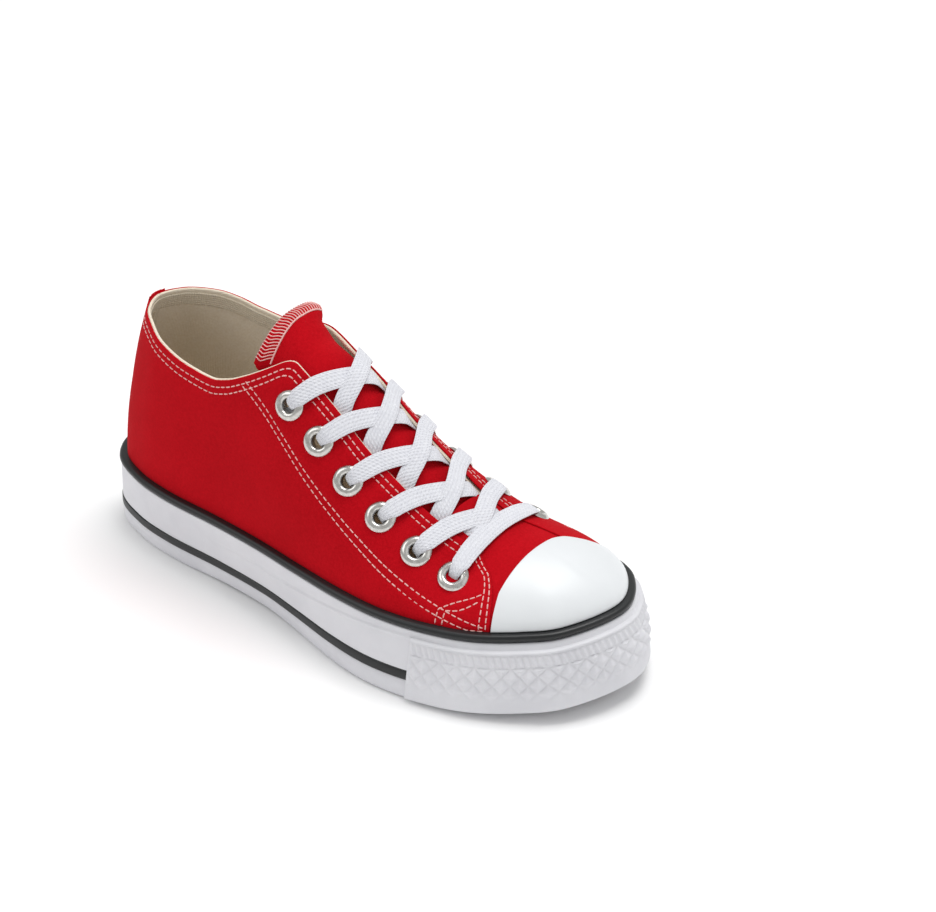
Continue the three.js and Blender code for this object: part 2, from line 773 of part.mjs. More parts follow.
function makeCrossing(row) {
  const first = toManifold(lacePiece(crossingStops(row, -1)));
  const second = toManifold(lacePiece(crossingStops(row, 1)));
  return fromManifold(first.add(second));
}

function makeBar() {
  const x = eyeletRows[5];
  return lacePiece([
    eyeletStop(5, -1),
    laceStop(x, -1, 15, 3),
    laceStop(x, -1, 0.6, 1.6),
    laceStop(x, 1, 15, 3),
    eyeletStop(5, 1),
  ]);
}

// ---------- assembly ----------
const finish = (color, roughness, metalness = 0) => ({ color, roughness, metalness });
const canvasRed = finish(0xb01520, 0.9);
const whiteRubber = finish(0xe6e6ea, 0.5);
const blackRubber = finish(0x1c2022, 0.5);
const cottonWhite = finish(0xe8e8ec, 0.85);
const nickel = finish(0xc9c9c4, 0.3, 1);

const shoe = new THREE.Group();
function addPiece(name, geometry, look) {
  const piece = new THREE.Mesh(geometry, new THREE.MeshStandardMaterial(look));
  piece.name = name;
  shoe.add(piece);
  return piece;
}

addPiece('outsole', makeOutsole(), whiteRubber);
addPiece('foxing', makeFoxing(), whiteRubber);
addPiece('side_stripe', makeStripe(), blackRubber);
addPiece('welt', makeWelt(), blackRubber);
addPiece('toe_bumper', makeBumper(), whiteRubber);
addPiece('toe_cap', makeToeCap(), finish(0xefeff2, 0.4));
addPiece('upper', makeUpper(), canvasRed);
addPiece('tongue', makeTongue(), canvasRed);
addPiece('insole', makeInsole(), finish(0xbda98a, 0.95));
for (let row = 0; row < eyeletRows.length - 1; row += 1) {
  addPiece(`lace_crossing_${row + 1}`, makeCrossing(row), cottonWhite);
}
addPiece('lace_bar', makeBar(), cottonWhite);
for (const place of eyeletPlaces) {
  const side = place.side < 0 ? 'lateral' : 'medial';
  const piece = addPiece(`eyelet_${side}_${place.row + 1}`, makeEyelet(), nickel);
  piece.quaternion.copy(turnTo(place.normal));
  piece.position.copy(place.point);
}

// The origin is the middle of the footprint, on the ground.
const box = new THREE.Box3().setFromObject(shoe);
shoe.position.set(-(box.min.x + box.max.x) / 2, -(box.min.y + box.max.y) / 2, 0);

export default shoe;
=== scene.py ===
# A low canvas sneaker for the right foot: red cotton upper on a thick flared rubber sole.
import math

import bpy
import numpy as np
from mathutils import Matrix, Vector
from mathutils.kdtree import KDTree


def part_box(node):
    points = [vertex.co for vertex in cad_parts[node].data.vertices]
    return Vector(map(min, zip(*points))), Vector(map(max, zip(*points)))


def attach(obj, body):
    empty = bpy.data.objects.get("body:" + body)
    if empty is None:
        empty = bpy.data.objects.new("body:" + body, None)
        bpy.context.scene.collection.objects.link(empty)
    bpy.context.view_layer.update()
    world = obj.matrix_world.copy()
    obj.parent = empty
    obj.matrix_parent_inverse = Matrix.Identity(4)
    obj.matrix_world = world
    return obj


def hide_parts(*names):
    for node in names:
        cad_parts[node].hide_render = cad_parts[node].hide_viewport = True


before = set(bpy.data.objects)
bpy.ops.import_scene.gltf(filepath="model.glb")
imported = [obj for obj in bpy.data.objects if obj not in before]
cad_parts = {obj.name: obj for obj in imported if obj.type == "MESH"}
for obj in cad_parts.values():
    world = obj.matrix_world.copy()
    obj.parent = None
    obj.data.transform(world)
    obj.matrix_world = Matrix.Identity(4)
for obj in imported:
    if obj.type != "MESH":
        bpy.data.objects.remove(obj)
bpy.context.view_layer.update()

# the shoe's own sizes, in millimetres, x from the heel, y to the inner side
shoe = {
    "gap": 0.3,
    "weltZ": 32.4,
    "weltTall": 3.4,
    "weltProud": 0.7,
    "foxingThick": 3.0,
    "stripeBottom": 9.6,
    "stripeTop": 13.5,
    "coreTop": 20.0,
    "toeSpring": 6.5,
    "springStart": 185.0,
    "archRise": 1.5,
    "archFrom": 78.0,
    "archTo": 140.0,
    "heelCentre": 36.0,
    "toeCentre": 214.0,
    "throatEnd": 210.0,
    "throatRound": 10.0,
    "counterLean": 11.0,
    "leanHeight": 80.0,
    "leanReach": 62.0,
    "wall": 2.0,
}
plan = {  # half widths of the sole at the welt
    "x": [8, 26, 47, 79, 105, 131, 157, 178, 199, 220, 238, 251],
    "lateral": [16.8, 26.8, 31.7, 34.4, 37.5, 42.0, 45.9, 46.9, 44.2, 38.4, 28.2, 17.2],
    "medial": [16.8, 26.8, 31.7, 30.6, 29.8, 32.6, 39.9, 46.3, 50.4, 50.0, 44.6, 35.8],
}
toeTip = (262.0, 13.0)
last = {  # ridge height, fullness of each shoulder, steepness of the side, place of the ridge
    "x": [36, 70, 105, 120, 134, 150, 167, 186, 204, 214],
    "ridge": [172, 160, 134, 122, 111, 97, 84, 71, 61.5, 59],
    "lateral": [0.52, 0.52, 0.6, 0.58, 0.53, 0.46, 0.41, 0.39, 0.43, 0.5],
    "medial": [0.52, 0.6, 0.68, 0.74, 0.78, 0.72, 0.61, 0.54, 0.49, 0.46],
    "side": [0.62, 0.62, 0.62, 0.6, 0.56, 0.51, 0.49, 0.48, 0.49, 0.52],
    "centre": [1, 0, -1, -2, -2, -2, -1, 0, 3, 6],
}
topline = {
    "x": [3, 20, 30, 45, 60, 73, 82, 90, 102, 112, 126],
    "lateral": [114, 111.5, 109, 105.2, 102.4, 101.2, 103.5, 107.4, 114.4, 120.6, 128.5],
    "medial": [114, 113.5, 113, 111.5, 110, 110, 111.5, 114.5, 120.5, 125.5, 131],
}
throat = {"x": [90, 120, 150, 175, 190], "half": [19, 15.5, 15.3, 15.3, 14.5]}
soleFlare = {"x": [0, 26, 105, 178, 262], "out": [1, -1, -2.6, 5, 8]}


def clamp(v, low, high):
    return np.minimum(np.maximum(v, low), high)


def stepUp(start, stop, v):
    k = clamp((v - start) / (stop - start), 0, 1)
    return k * k * (3 - 2 * k)


def mix(a, b, k):
    return a + (b - a) * k


def columnAt(table, name, x):
    # monotone cubic through one named column
    xs = np.asarray(table["x"], float)
    ys = np.asarray(table[name], float)
    slope = np.diff(ys) / np.diff(xs)
    before, after = slope[:-1], slope[1:]
    total = np.where(before + after == 0, 1, before + after)
    inner = np.where(before * after <= 0, 0, 2 * before * after / total)
    tangent = np.concatenate([slope[:1], inner, slope[-1:]])
    at = clamp(np.asarray(x, float), xs[0], xs[-1])
    i = clamp(np.searchsorted(xs, at, side="left") - 1, 0, len(xs) - 2)
    span = xs[i + 1] - xs[i]
    s = (at - xs[i]) / span
    start = ys[i] * (1 + 2 * s) * (1 - s) ** 2 + span * tangent[i] * s * (1 - s) ** 2
    end = ys[i + 1] * s * s * (3 - 2 * s) + span * tangent[i + 1] * s * s * (s - 1)
    return start + end


def solveRising(fn, target, low, high):
    target = np.asarray(target, float)
    a = np.broadcast_to(np.asarray(low, float), target.shape).copy()
    b = np.broadcast_to(np.asarray(high, float), target.shape).copy()
    for _ in range(32):
        middle = (a + b) / 2
        under = fn(middle) < target
        a = np.where(under, middle, a)
        b = np.where(under, b, middle)
    return (a + b) / 2


def traceOutline(count=6000):
    # closed centripetal curve through the plan's points, heel first, then round the outer side
    pts = [(0.0, 0.0)]
    pts += [(x, -w) for x, w in zip(plan["x"], plan["lateral"])]
    pts += [toeTip]
    pts += [(x, w) for x, w in reversed(list(zip(plan["x"], plan["medial"])))]
    p = np.array(pts, float)
    n = len(p)
    u = np.arange(count) / count
    i = np.floor(u * n).astype(int)
    w = (u * n - i)[:, None]
    p0, p1, p2, p3 = p[(i - 1) % n], p[i % n], p[(i + 1) % n], p[(i + 2) % n]
    gapOf = lambda a, b: np.sqrt(np.linalg.norm(b - a, axis=1))[:, None]
    d0, d1, d2 = gapOf(p0, p1), gapOf(p1, p2), gapOf(p2, p3)
    t1 = ((p1 - p0) / d0 - (p2 - p0) / (d0 + d1) + (p2 - p1) / d1) * d1
    t2 = ((p2 - p1) / d1 - (p3 - p1) / (d1 + d2) + (p3 - p2) / d2) * d1
    return p1 + t1 * w + (3 * (p2 - p1) - 2 * t1 - t2) * w**2 + (2 * (p1 - p2) + t1 + t2) * w**3


outlineXY = traceOutline()
outlineStep = 1 / len(outlineXY)
tangentXY = np.roll(outlineXY, -6, axis=0) - np.roll(outlineXY, 6, axis=0)
outwardXY = np.stack([tangentXY[:, 1], -tangentXY[:, 0]], axis=1)
outwardXY /= np.linalg.norm(outwardXY, axis=1)[:, None]


def roundOutline(table, u):
    place = np.mod(u, 1) / outlineStep
    i = np.floor(place).astype(int)
    w = (place - i)[..., None]
    return table[i % len(table)] * (1 - w) + table[(i + 1) % len(table)] * w


def outlineAt(u, out):
    return roundOutline(outlineXY, u) + roundOutline(outwardXY, u) * np.asarray(out, float)[..., None]


def spring(x):
    s = shoe
    return s["toeSpring"] * (np.maximum(x - s["springStart"], 0) / (toeTip[0] - s["springStart"])) ** 2


def arch(x):
    s = shoe
    rise = stepUp(s["archFrom"] - 20, s["archFrom"] + 10, x)
    return s["archRise"] * rise * (1 - stepUp(s["archTo"] - 32, s["archTo"], x))


def wallPoint(u, z, out):
    # the sole's side: z above the local ground line, out from the flared wall
    x = outlineAt(u, np.zeros(np.shape(u)))[..., 0]
    bulge = mix(1, 0.6, stepUp(190, 245, x))  # the toe's wall bellies out near its top
    flare = columnAt(soleFlare, "out", x) * clamp(1 - z / shoe["weltZ"], 0, 1) ** bulge
    p = outlineAt(u, flare + out)
    return np.concatenate([p, (z + spring(p[..., 0]))[..., None]], axis=-1)


def basePoint(u):
    return outlineAt(u, np.full(np.shape(u), -(shoe["foxingThick"] + shoe["gap"])))


def lastPoint(u, t):
    # the last: u round the foot, t from the welt (0) to the ridge (1)
    u, t = np.broadcast_arrays(np.asarray(u, float), np.asarray(t, float))
    base = basePoint(u)
    bx, by = base[..., 0], base[..., 1]
    x = clamp(bx, shoe["heelCentre"], shoe["toeCentre"])
    y = columnAt(last, "centre", x)
    foot = shoe["weltZ"] + shoe["weltTall"] / 2 + spring(bx)
    tall = columnAt(last, "ridge", x) - foot
    full = np.where(by < y, columnAt(last, "lateral", x), columnAt(last, "medial", x))
    side = columnAt(last, "side", x)
    reach = np.hypot(bx - x, by - y)
    s = 1 - t
    far = reach * s**3 + 3 * (reach + 1) * s * s * t + 3 * full * reach * s * t * t
    rise = tall * (3 * side * s * s * t + 3 * s * t * t + t**3)
    px = x + (bx - x) / reach * far
    py = y + (by - y) / reach * far
    lean = shoe["counterLean"] * stepUp(-shoe["leanReach"], -5, -px)
    lean = lean * clamp(rise / shoe["leanHeight"], 0, 1.2) ** 1.5
    return np.stack([px + lean, py, foot + rise], axis=-1)


def unit(v):
    return v / np.maximum(np.linalg.norm(v, axis=-1), 1e-12)[..., None]


def lastNormal(u, t):
    u, t = np.broadcast_arrays(np.asarray(u, float), np.asarray(t, float))
    e = 1e-3
    t = np.minimum(t, 0.9985)
    along = lastPoint(u + e, t) - lastPoint(u - e, t)
    up = lastPoint(u, t + e) - lastPoint(u, np.maximum(t - e, 0))
    n = unit(np.cross(along, up))
    x = clamp(basePoint(u)[..., 0], shoe["heelCentre"], shoe["toeCentre"] - 1)
    fall = (columnAt(last, "ridge", x + 1) - columnAt(last, "ridge", x - 1)) / 2
    crown = unit(np.stack([-fall, 0 * fall, 1 + 0 * fall], axis=-1))
    k = stepUp(0.97, 0.998, t)[..., None]
    return unit(n * (1 - k) + crown * k)


def offLast(u, t, out):
    return lastPoint(u, t) + lastNormal(u, t) * np.asarray(out, float)[..., None]


def ridgeY(x):
    return columnAt(last, "centre", clamp(x, shoe["heelCentre"], shoe["toeCentre"]))


def tAtHeight(u, z):
    return solveRising(lambda t: lastPoint(u, t)[..., 2], z + 0 * u, 0, 1)


def tAtHalf(u, half):
    centre = ridgeY(basePoint(u)[..., 0])
    return solveRising(lambda t: -np.abs(lastPoint(u, t)[..., 1] - centre), -half + 0 * u, 0.02, 1)


def uAtX(x, side):
    x = np.asarray(x, float)
    if side < 0:
        return solveRising(lambda u: basePoint(u)[..., 0], x, 0, 0.5)
    return solveRising(lambda u: -basePoint(u)[..., 0], -x, 0.5, 1)


def throatHalf(x):
    rounded = clamp((x - shoe["throatEnd"] + shoe["throatRound"]) / shoe["throatRound"], 0, 1)
    return columnAt(throat, "half", x) * np.sqrt(1 - rounded**2)


def topEdgeAt(u):
    # the upper's top edge: topline, then throat, joined by a rounded corner
    base = basePoint(u)
    bx, outer = base[..., 0], base[..., 1] < ridgeY(base[..., 0])
    height = np.where(outer, columnAt(topline, "lateral", bx), columnAt(topline, "medial", bx))
    collar = tAtHeight(u, height)
    edge = tAtHalf(u, throatHalf(bx))
    blend = 0.07
    k = clamp(0.5 + (edge - collar) / (2 * blend), 0, 1)
    joined = mix(edge, collar, k) - blend * k * (1 - k)
    return np.where(bx >= shoe["throatEnd"], 1.0, np.where(bx < 88, collar, joined))


def arcBelow(u, tTop, distance, rows=60):
    # how far down the section, in t, lies the point at a distance below tTop
    k = np.linspace(0, 1, rows)
    t = tTop[..., None] * (1 - 0.75 * k)
    p = lastPoint(u[..., None], t)
    run = np.concatenate(
        [0 * tTop[..., None], np.cumsum(np.linalg.norm(np.diff(p, axis=-2), axis=-1), -1)], -1
    )
    flatRun, flatT = run.reshape(-1, rows), t.reshape(-1, rows)
    want = np.broadcast_to(distance, tTop.shape).ravel()
    return np.array([np.interp(d, r, q) for d, r, q in zip(want, flatRun, flatT)]).reshape(tTop.shape)


# meshes
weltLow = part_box("welt")[0]
originX = weltLow[0] * 1000 + 0.7  # where x = 0, y = 0 of the shoe's own sizes lies in the frame
originY = weltLow[1] * 1000 + 47.658
pieces = {}


def toFrame(points):
    return (np.asarray(points, float) + (originX, originY, 0)) / 1000


def addPiece(name, verts, faces, material, uv=None, sharp=40, standsFor=()):
    mesh = bpy.data.meshes.new(name)
    mesh.from_pydata(toFrame(verts).tolist(), [], [list(map(int, f)) for f in faces])
    mesh.validate()
    if uv is not None:
        layer = mesh.uv_layers.new(name="cloth")
        index = np.zeros(len(mesh.loops), np.int32)
        mesh.loops.foreach_get("vertex_index", index)
        layer.data.foreach_set("uv", np.asarray(uv, np.float32)[index].ravel())
    mesh.shade_smooth()
    mesh.set_sharp_from_angle(angle=math.radians(sharp))
    mesh.materials.append(material)
    piece = bpy.data.objects.new(name, mesh)
    bpy.context.scene.collection.objects.link(piece)
    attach(piece, "root")
    for node in standsFor:
        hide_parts(node)
    pieces[name] = piece
    return piece


def gridFaces(ni, nj, ringI=False, ringJ=False, flip=False, start=0):
    i = np.arange(ni if ringI else ni - 1)
    j = np.arange(nj if ringJ else nj - 1)
    i, j = np.meshgrid(i, j, indexing="ij")
    k, m = (i + 1) % ni, (j + 1) % nj
    quads = np.stack([i * nj + j, k * nj + j, k * nj + m, i * nj + m], -1).reshape(-1, 4) + start
    return quads[:, ::-1] if flip else quads


def clothUv(grid):
    # lengths along and up the sheet in millimetres, so that a weave keeps its size
    along = np.concatenate([
        np.zeros((1, grid.shape[1])), np.cumsum(np.linalg.norm(np.diff(grid, axis=0), axis=-1), 0)
    ])
    up = np.concatenate(
        [np.zeros((grid.shape[0], 1)), np.cumsum(np.linalg.norm(np.diff(grid, axis=1), axis=-1), 1)], 1
    )
    return np.stack([along.mean(1, keepdims=True) + 0 * along, up], -1).reshape(-1, 2)


def addSheet(name, outer, inner, material, ringI=False, standsFor=(), sharp=60):
    # a sheet of some thickness between two grids, closed round its edges
    ni, nj = outer.shape[:2]
    n = ni * nj
    verts = np.concatenate([outer.reshape(-1, 3), inner.reshape(-1, 3)])
    index = np.arange(n).reshape(ni, nj)
    faces = [gridFaces(ni, nj, ringI), gridFaces(ni, nj, ringI, flip=True, start=n)]

    def rim(line, close, flip):
        a = line
        b = np.roll(line, -1) if close else line[1:]
        a = a if close else line[:-1]
        quads = np.stack([a, a + n, b + n, b], -1)
        faces.append(quads[:, ::-1] if flip else quads)

    rim(index[:, 0], ringI, False)
    rim(index[:, -1], ringI, True)
    if not ringI:
        rim(index[0], False, True)
        rim(index[-1], False, False)
    uv = clothUv(outer)
    return addPiece(
        name, verts, np.concatenate(faces), material, np.concatenate([uv, uv]), sharp, standsFor
    )


def addSweep(name, loops, material, ringI=True, standsFor=(), sharp=40):
    # closed loops of equal length swept along; an open run gets flat ends
    ni, nj = loops.shape[:2]
    faces = [list(f) for f in gridFaces(ni, nj, ringI, True)]
    if not ringI:
        faces.append(list(range(nj)))
        faces.append(list(range((ni - 1) * nj, ni * nj))[::-1])
    return addPiece(name, loops.reshape(-1, 3), faces, material, None, sharp, standsFor)


def rolledLines(count, length, edge=0.6):
    # places from 0 to 1 with close lines at both ends, and how far each end line is rolled in
    near = edge / length
    inner = np.linspace(near, 1 - near, count)
    places = np.concatenate([[0, near * 0.12, near * 0.45], inner, [1 - near * 0.45, 1 - near * 0.12, 1]])
    d = np.minimum(places, 1 - places) / near
    roll = 1 - np.sqrt(1 - (1 - clamp(d, 0, 1)) ** 2)
    return places, roll


def addSoftSheet(
    name, surface, na, nb, lengthA, lengthB, top, bottom, material, standsFor=(), edge=0.6, lift=None
):
    # surface(a, b, out) gives points; every edge is rounded over by `edge` millimetres
    a, rollA = rolledLines(na, lengthA, edge)
    b, rollB = rolledLines(nb, lengthB, edge)
    aa, bb = np.meshgrid(a, b, indexing="ij")
    roll = np.maximum(rollA[:, None], rollB[None, :])
    middle = (top + bottom) / 2
    rise = 0 if lift is None else lift(aa, bb)
    outer = surface(aa, bb, rise + mix(top, middle, roll))
    inner = surface(aa, bb, rise * 0 + mix(bottom, middle, roll))
    return addSheet(name, outer, inner, material, standsFor=standsFor, sharp=75)


# materials
def linear(hexColour):
    parts = [int(hexColour[i : i + 2], 16) / 255 for i in (0, 2, 4)]
    return [p / 12.92 if p <= 0.04045 else ((p + 0.055) / 1.055) ** 2.4 for p in parts] + [1]


def addNode(tree, kind, settings=None, links=None):
    # adds one node; "stops" gives a colour ramp's places and colours
    node = tree.nodes.new(kind)
    for key, value in (settings or {}).items():
        if key == "stops":
            for element, (at, hexColour) in zip(node.color_ramp.elements, value):
                element.position = at
                element.color = linear(hexColour)
        elif isinstance(key, str) and hasattr(node, key):
            setattr(node, key, value)
        else:
            node.inputs[key].default_value = value
    for key, source in (links or {}).items():
        tree.links.new(source, node.inputs[key])
    return node


def newMaterial(name, settings):
    # place is the position on the shoe in millimetres
    material = bpy.data.materials.new(name)
    material.use_nodes = True
    tree = material.node_tree
    shader = tree.nodes["Principled BSDF"]
    for key, value in settings.items():
        shader.inputs[key].default_value = value
    metres = addNode(tree, "ShaderNodeTexCoord").outputs["Object"]
    place = addNode(
        tree, "ShaderNodeVectorMath", {"operation": "SCALE", "Scale": 1000}, {0: metres}
    ).outputs[0]
    return material, tree, shader, place


threadWave = {"wave_type": "BANDS", "wave_profile": "SIN", "Distortion": 0.5, "Detail": 1.0}
waveScale = 0.31416  # one wave each millimetre


def wovenCloth(name, dark, light, roughness, spacing, depth, sheen=0.25):
    # plain-weave cotton: matt, with a thread grid (drawn coarser than life) and slight uneven dye
    material, tree, shader, place = newMaterial(
        name, {
            "Roughness": roughness, "Sheen Weight": sheen, "Sheen Roughness": 0.5,
            "Specular IOR Level": 0.03,
        }
    )
    uv = addNode(tree, "ShaderNodeUVMap", {"uv_map": "cloth"}).outputs[0]
    threads = [
        addNode(
            tree,
            "ShaderNodeTexWave",
            {**threadWave, "bands_direction": axis, "Scale": waveScale / spacing},
            {"Vector": uv},
        ).outputs["Fac"]
        for axis in "XY"
    ]
    grid = addNode(tree, "ShaderNodeMath", {"operation": "ADD"}, {0: threads[0], 1: threads[1]}).outputs[0]
    dyeLook = {"Scale": 1 / 45, "Detail": 3.0, "Roughness": 0.6}  # clouds 45 mm across
    dye = addNode(tree, "ShaderNodeTexNoise", dyeLook, {"Vector": place}).outputs["Fac"]
    slub = addNode(
        tree, "ShaderNodeTexNoise", {"Scale": 0.9, "Detail": 2.0}, {"Vector": place}
    ).outputs["Fac"]
    tone = addNode(tree, "ShaderNodeMix", {"data_type": "FLOAT", 0: 0.5}, {2: slub, 3: dye}).outputs[0]
    colour = addNode(tree, "ShaderNodeValToRGB", {"stops": ((0.36, dark), (0.64, light))}, {"Fac": tone})
    tree.links.new(colour.outputs["Color"], shader.inputs["Base Color"])
    height = addNode(
        tree, "ShaderNodeMath", {"operation": "MULTIPLY_ADD", 1: 0.4}, {0: slub, 2: grid}
    ).outputs[0]
    bump = addNode(tree, "ShaderNodeBump", {"Strength": 1.0, "Distance": depth / 1000}, {"Height": height})
    tree.links.new(bump.outputs[0], shader.inputs["Normal"])
    return material


def mouldedRubber(name, dark, light, roughness, grain, depth, coat=0.0, blotch=30):
    # vulcanised rubber: smooth moulded skin with a soft, slightly uneven gloss
    material, tree, shader, place = newMaterial(
        name, {
            "IOR": 1.52, "Roughness": roughness, "Coat Weight": coat, "Coat Roughness": 0.25,
            "Specular IOR Level": 0.45,
        }
    )
    cloudLook = {"Scale": 1 / blotch, "Detail": 4.0, "Roughness": 0.6}
    cloud = addNode(tree, "ShaderNodeTexNoise", cloudLook, {"Vector": place}).outputs["Fac"]
    colour = addNode(tree, "ShaderNodeValToRGB", {"stops": ((0.3, dark), (0.7, light))}, {"Fac": cloud})
    tree.links.new(colour.outputs["Color"], shader.inputs["Base Color"])
    span = {"To Min": roughness - 0.06, "To Max": roughness + 0.06}
    rough = addNode(tree, "ShaderNodeMapRange", span, {"Value": cloud}).outputs[0]
    tree.links.new(rough, shader.inputs["Roughness"])
    skin = addNode(
        tree, "ShaderNodeTexNoise", {"Scale": 1 / grain, "Detail": 2.0}, {"Vector": place}
    ).outputs["Fac"]
    bump = addNode(tree, "ShaderNodeBump", {"Strength": 0.6, "Distance": depth / 1000}, {"Height": skin})
    tree.links.new(bump.outputs[0], shader.inputs["Normal"])
    return material


def braidedCotton():
    # flat tubular braid: soft white, fine herringbone along the lace
    material, tree, shader, place = newMaterial(
        "braided cotton lace", {"Roughness": 0.85, "Sheen Weight": 0.2, "Specular IOR Level": 0.25}
    )
    uv = addNode(tree, "ShaderNodeUVMap", {"uv_map": "cloth"}).outputs[0]
    strands = [
        addNode(
            tree,
            "ShaderNodeTexWave",
            {**threadWave, "bands_direction": axis, "Scale": waveScale / spacing},
            {"Vector": uv},
        ).outputs["Fac"]
        for axis, spacing in (("DIAGONAL", 0.9), ("Y", 1.3))
    ]
    fuzz = addNode(
        tree, "ShaderNodeTexNoise", {"Scale": 0.8, "Detail": 3.0}, {"Vector": place}
    ).outputs["Fac"]
    colour = addNode(tree, "ShaderNodeValToRGB", {"stops": ((0.3, "D3D4DB"), (0.7, "E0E1E6"))}, {"Fac": fuzz})
    tree.links.new(colour.outputs["Color"], shader.inputs["Base Color"])
    height = addNode(tree, "ShaderNodeMath", {"operation": "ADD"}, {0: strands[0], 1: strands[1]}).outputs[0]
    bump = addNode(tree, "ShaderNodeBump", {"Strength": 1.0, "Distance": 0.00012}, {"Height": height})
    tree.links.new(bump.outputs[0], shader.inputs["Normal"])
    return material


def plainThread(name, dark, light):
    # spun sewing thread: matt, twisted
    material, tree, shader, place = newMaterial(
        name, {"Roughness": 0.8, "Sheen Weight": 0.2, "Specular IOR Level": 0.3}
    )
    twist = addNode(
        tree, "ShaderNodeTexNoise", {"Scale": 1.6, "Detail": 2.0}, {"Vector": place}
    ).outputs["Fac"]
    colour = addNode(tree, "ShaderNodeValToRGB", {"stops": ((0.3, dark), (0.7, light))}, {"Fac": twist})
    tree.links.new(colour.outputs["Color"], shader.inputs["Base Color"])
    bump = addNode(tree, "ShaderNodeBump", {"Strength": 0.8, "Distance": 0.0001}, {"Height": twist})
    tree.links.new(bump.outputs[0], shader.inputs["Normal"])
    return material


def platedNickel():
    # nickel-plated brass, pressed and tumbled: bright but softly scratched
    material, tree, shader, place = newMaterial("nickel plated brass", {"Metallic": 1.0, "Roughness": 0.3})
    haze = addNode(
        tree, "ShaderNodeTexNoise", {"Scale": 0.7, "Detail": 5.0}, {"Vector": place}
    ).outputs["Fac"]
    colour = addNode(tree, "ShaderNodeValToRGB", {"stops": ((0.3, "BDBBB6"), (0.7, "D9D8D4"))}, {"Fac": haze})
    tree.links.new(colour.outputs["Color"], shader.inputs["Base Color"])
    rough = addNode(tree, "ShaderNodeMapRange", {"To Min": 0.16, "To Max": 0.3}, {"Value": haze}).outputs[0]
    tree.links.new(rough, shader.inputs["Roughness"])
    return material


canvasRed = wovenCloth("red cotton canvas", "AE0915", "BF0E1B", 0.85, 0.8, 0.02, 0.02)
canvasInside = wovenCloth("unbleached cotton lining", "E6D9C2", "F0E6D4", 0.92, 0.8, 0.08, 0.1)
tapeCloth = wovenCloth("cotton twill tape", "D8CCB6", "E6DCC8", 0.92, 1.1, 0.12, 0.1)
insoleCloth = wovenCloth("insole cloth over foam", "B7A283", "C8B596", 0.95, 1.0, 0.10, 0.1)
laceCotton = braidedCotton()
seamThread = plainThread("cotton sewing thread", "E0A09C", "F0C4BF")
whiteRubber = mouldedRubber("white vulcanised rubber", "D4D4D9", "E0E0E4", 0.5, 0.8, 0.03)
capRubber = mouldedRubber("smooth cap rubber", "DCDFE1", "E3E6E8", 0.38, 1.2, 0.02, 0.1, 60)
blackRubber = mouldedRubber("black welt rubber", "0A0C0E", "14181A", 0.42, 0.8, 0.03, 0.05)
nickel = platedNickel()
print("materials ready")


# sole
soleLook = {
    "stations": 440, "bevel": 3.2, "treadRim": 8.0, "treadDepth": 1.7, "treadWidth": 2.4, "treadPitch": 9.5,
    "treadSwing": 2.85,
}


def evenRound(count, start=0.0, stop=1.0):
    # parameters at even lengths along the welt's outline
    fine = np.linspace(start, stop, 4000)
    p = outlineAt(fine, 0 * fine)
    run = np.concatenate([[0], np.cumsum(np.linalg.norm(np.diff(p, axis=0), axis=1))])
    closed = abs(stop - start - 1) < 1e-9
    want = np.linspace(0, run[-1], count + 1)[:-1] if closed else np.linspace(0, run[-1], count)
    return np.interp(want, run, fine), run[-1]


soleU, soleRound = evenRound(soleLook["stations"])


def innerPoint(u, z, inset):
    p = outlineAt(u, -inset + 0 * u)
    return np.concatenate([p, (z + spring(p[..., 0]))[..., None]], -1)


def soleLoops(u, profile):
    # profile rows: (out, z), measured on the flared wall
    return np.stack([wallPoint(u, z + 0 * u, out + 0 * u) for out, z in profile], 1)


def makeSoleEdge():
    s = soleLook
    low = [
        (-s["treadRim"], 0), (-s["bevel"], 0), (-2.0, 0.3), (-1.1, 1.0), (-0.55, 2.0), (-0.3, 3.2),
        (-0.25, 5), (-0.25, 9.0), (-0.5, 9.3), (-3.3, 9.3), (-s["treadRim"], 9.3),
    ]
    loops = soleLoops(soleU, low)
    lift = arch(loops[..., 0])
    loops[:, 0, 2] += lift[:, 0]
    loops[:, 1, 2] += lift[:, 1]
    loops[:, 2, 2] += lift[:, 2] * 0.9
    loops[:, 3, 2] += lift[:, 3] * 0.6
    loops[:, 4, 2] += lift[:, 4] * 0.3
    addSweep("soleEdge", loops, whiteRubber, standsFor=["outsole"], sharp=50)


def pairedGrid(inset, nx, ny, z=0.0):
    # a grid across the footprint, from the outer side to the inner side, inside an even margin
    u = np.linspace(-0.06, 0.06, 400)
    heelU = u[np.argmin(outlineAt(u, -inset + 0 * u)[:, 0])]
    toeU = 0.5 + u[np.argmax(outlineAt(u + 0.5, -inset + 0 * u)[:, 0])]
    first = outlineAt(np.array([heelU]), np.array([-inset]))[0, 0]
    final = outlineAt(np.array([toeU]), np.array([-inset]))[0, 0]
    k = np.linspace(0, 1, nx)
    k = 0.5 - 0.5 * np.cos(k * math.pi) * (1 - 0.35 * np.sin(k * math.pi))
    x = first + (final - first) * clamp(k, 0.00004, 0.99996)
    outer = solveRising(lambda v: outlineAt(v, -inset + 0 * v)[:, 0], x, heelU, toeU)
    inner = solveRising(lambda v: -outlineAt(v, -inset + 0 * v)[:, 0], -x, toeU, heelU + 1)
    a, b = outlineAt(outer, -inset + 0 * x), outlineAt(inner, -inset + 0 * x)
    w = np.linspace(0, 1, ny)[None, :, None]
    p = a[:, None] * (1 - w) + b[:, None] * w
    return np.concatenate([p, (z + spring(p[..., 0]))[..., None]], -1)


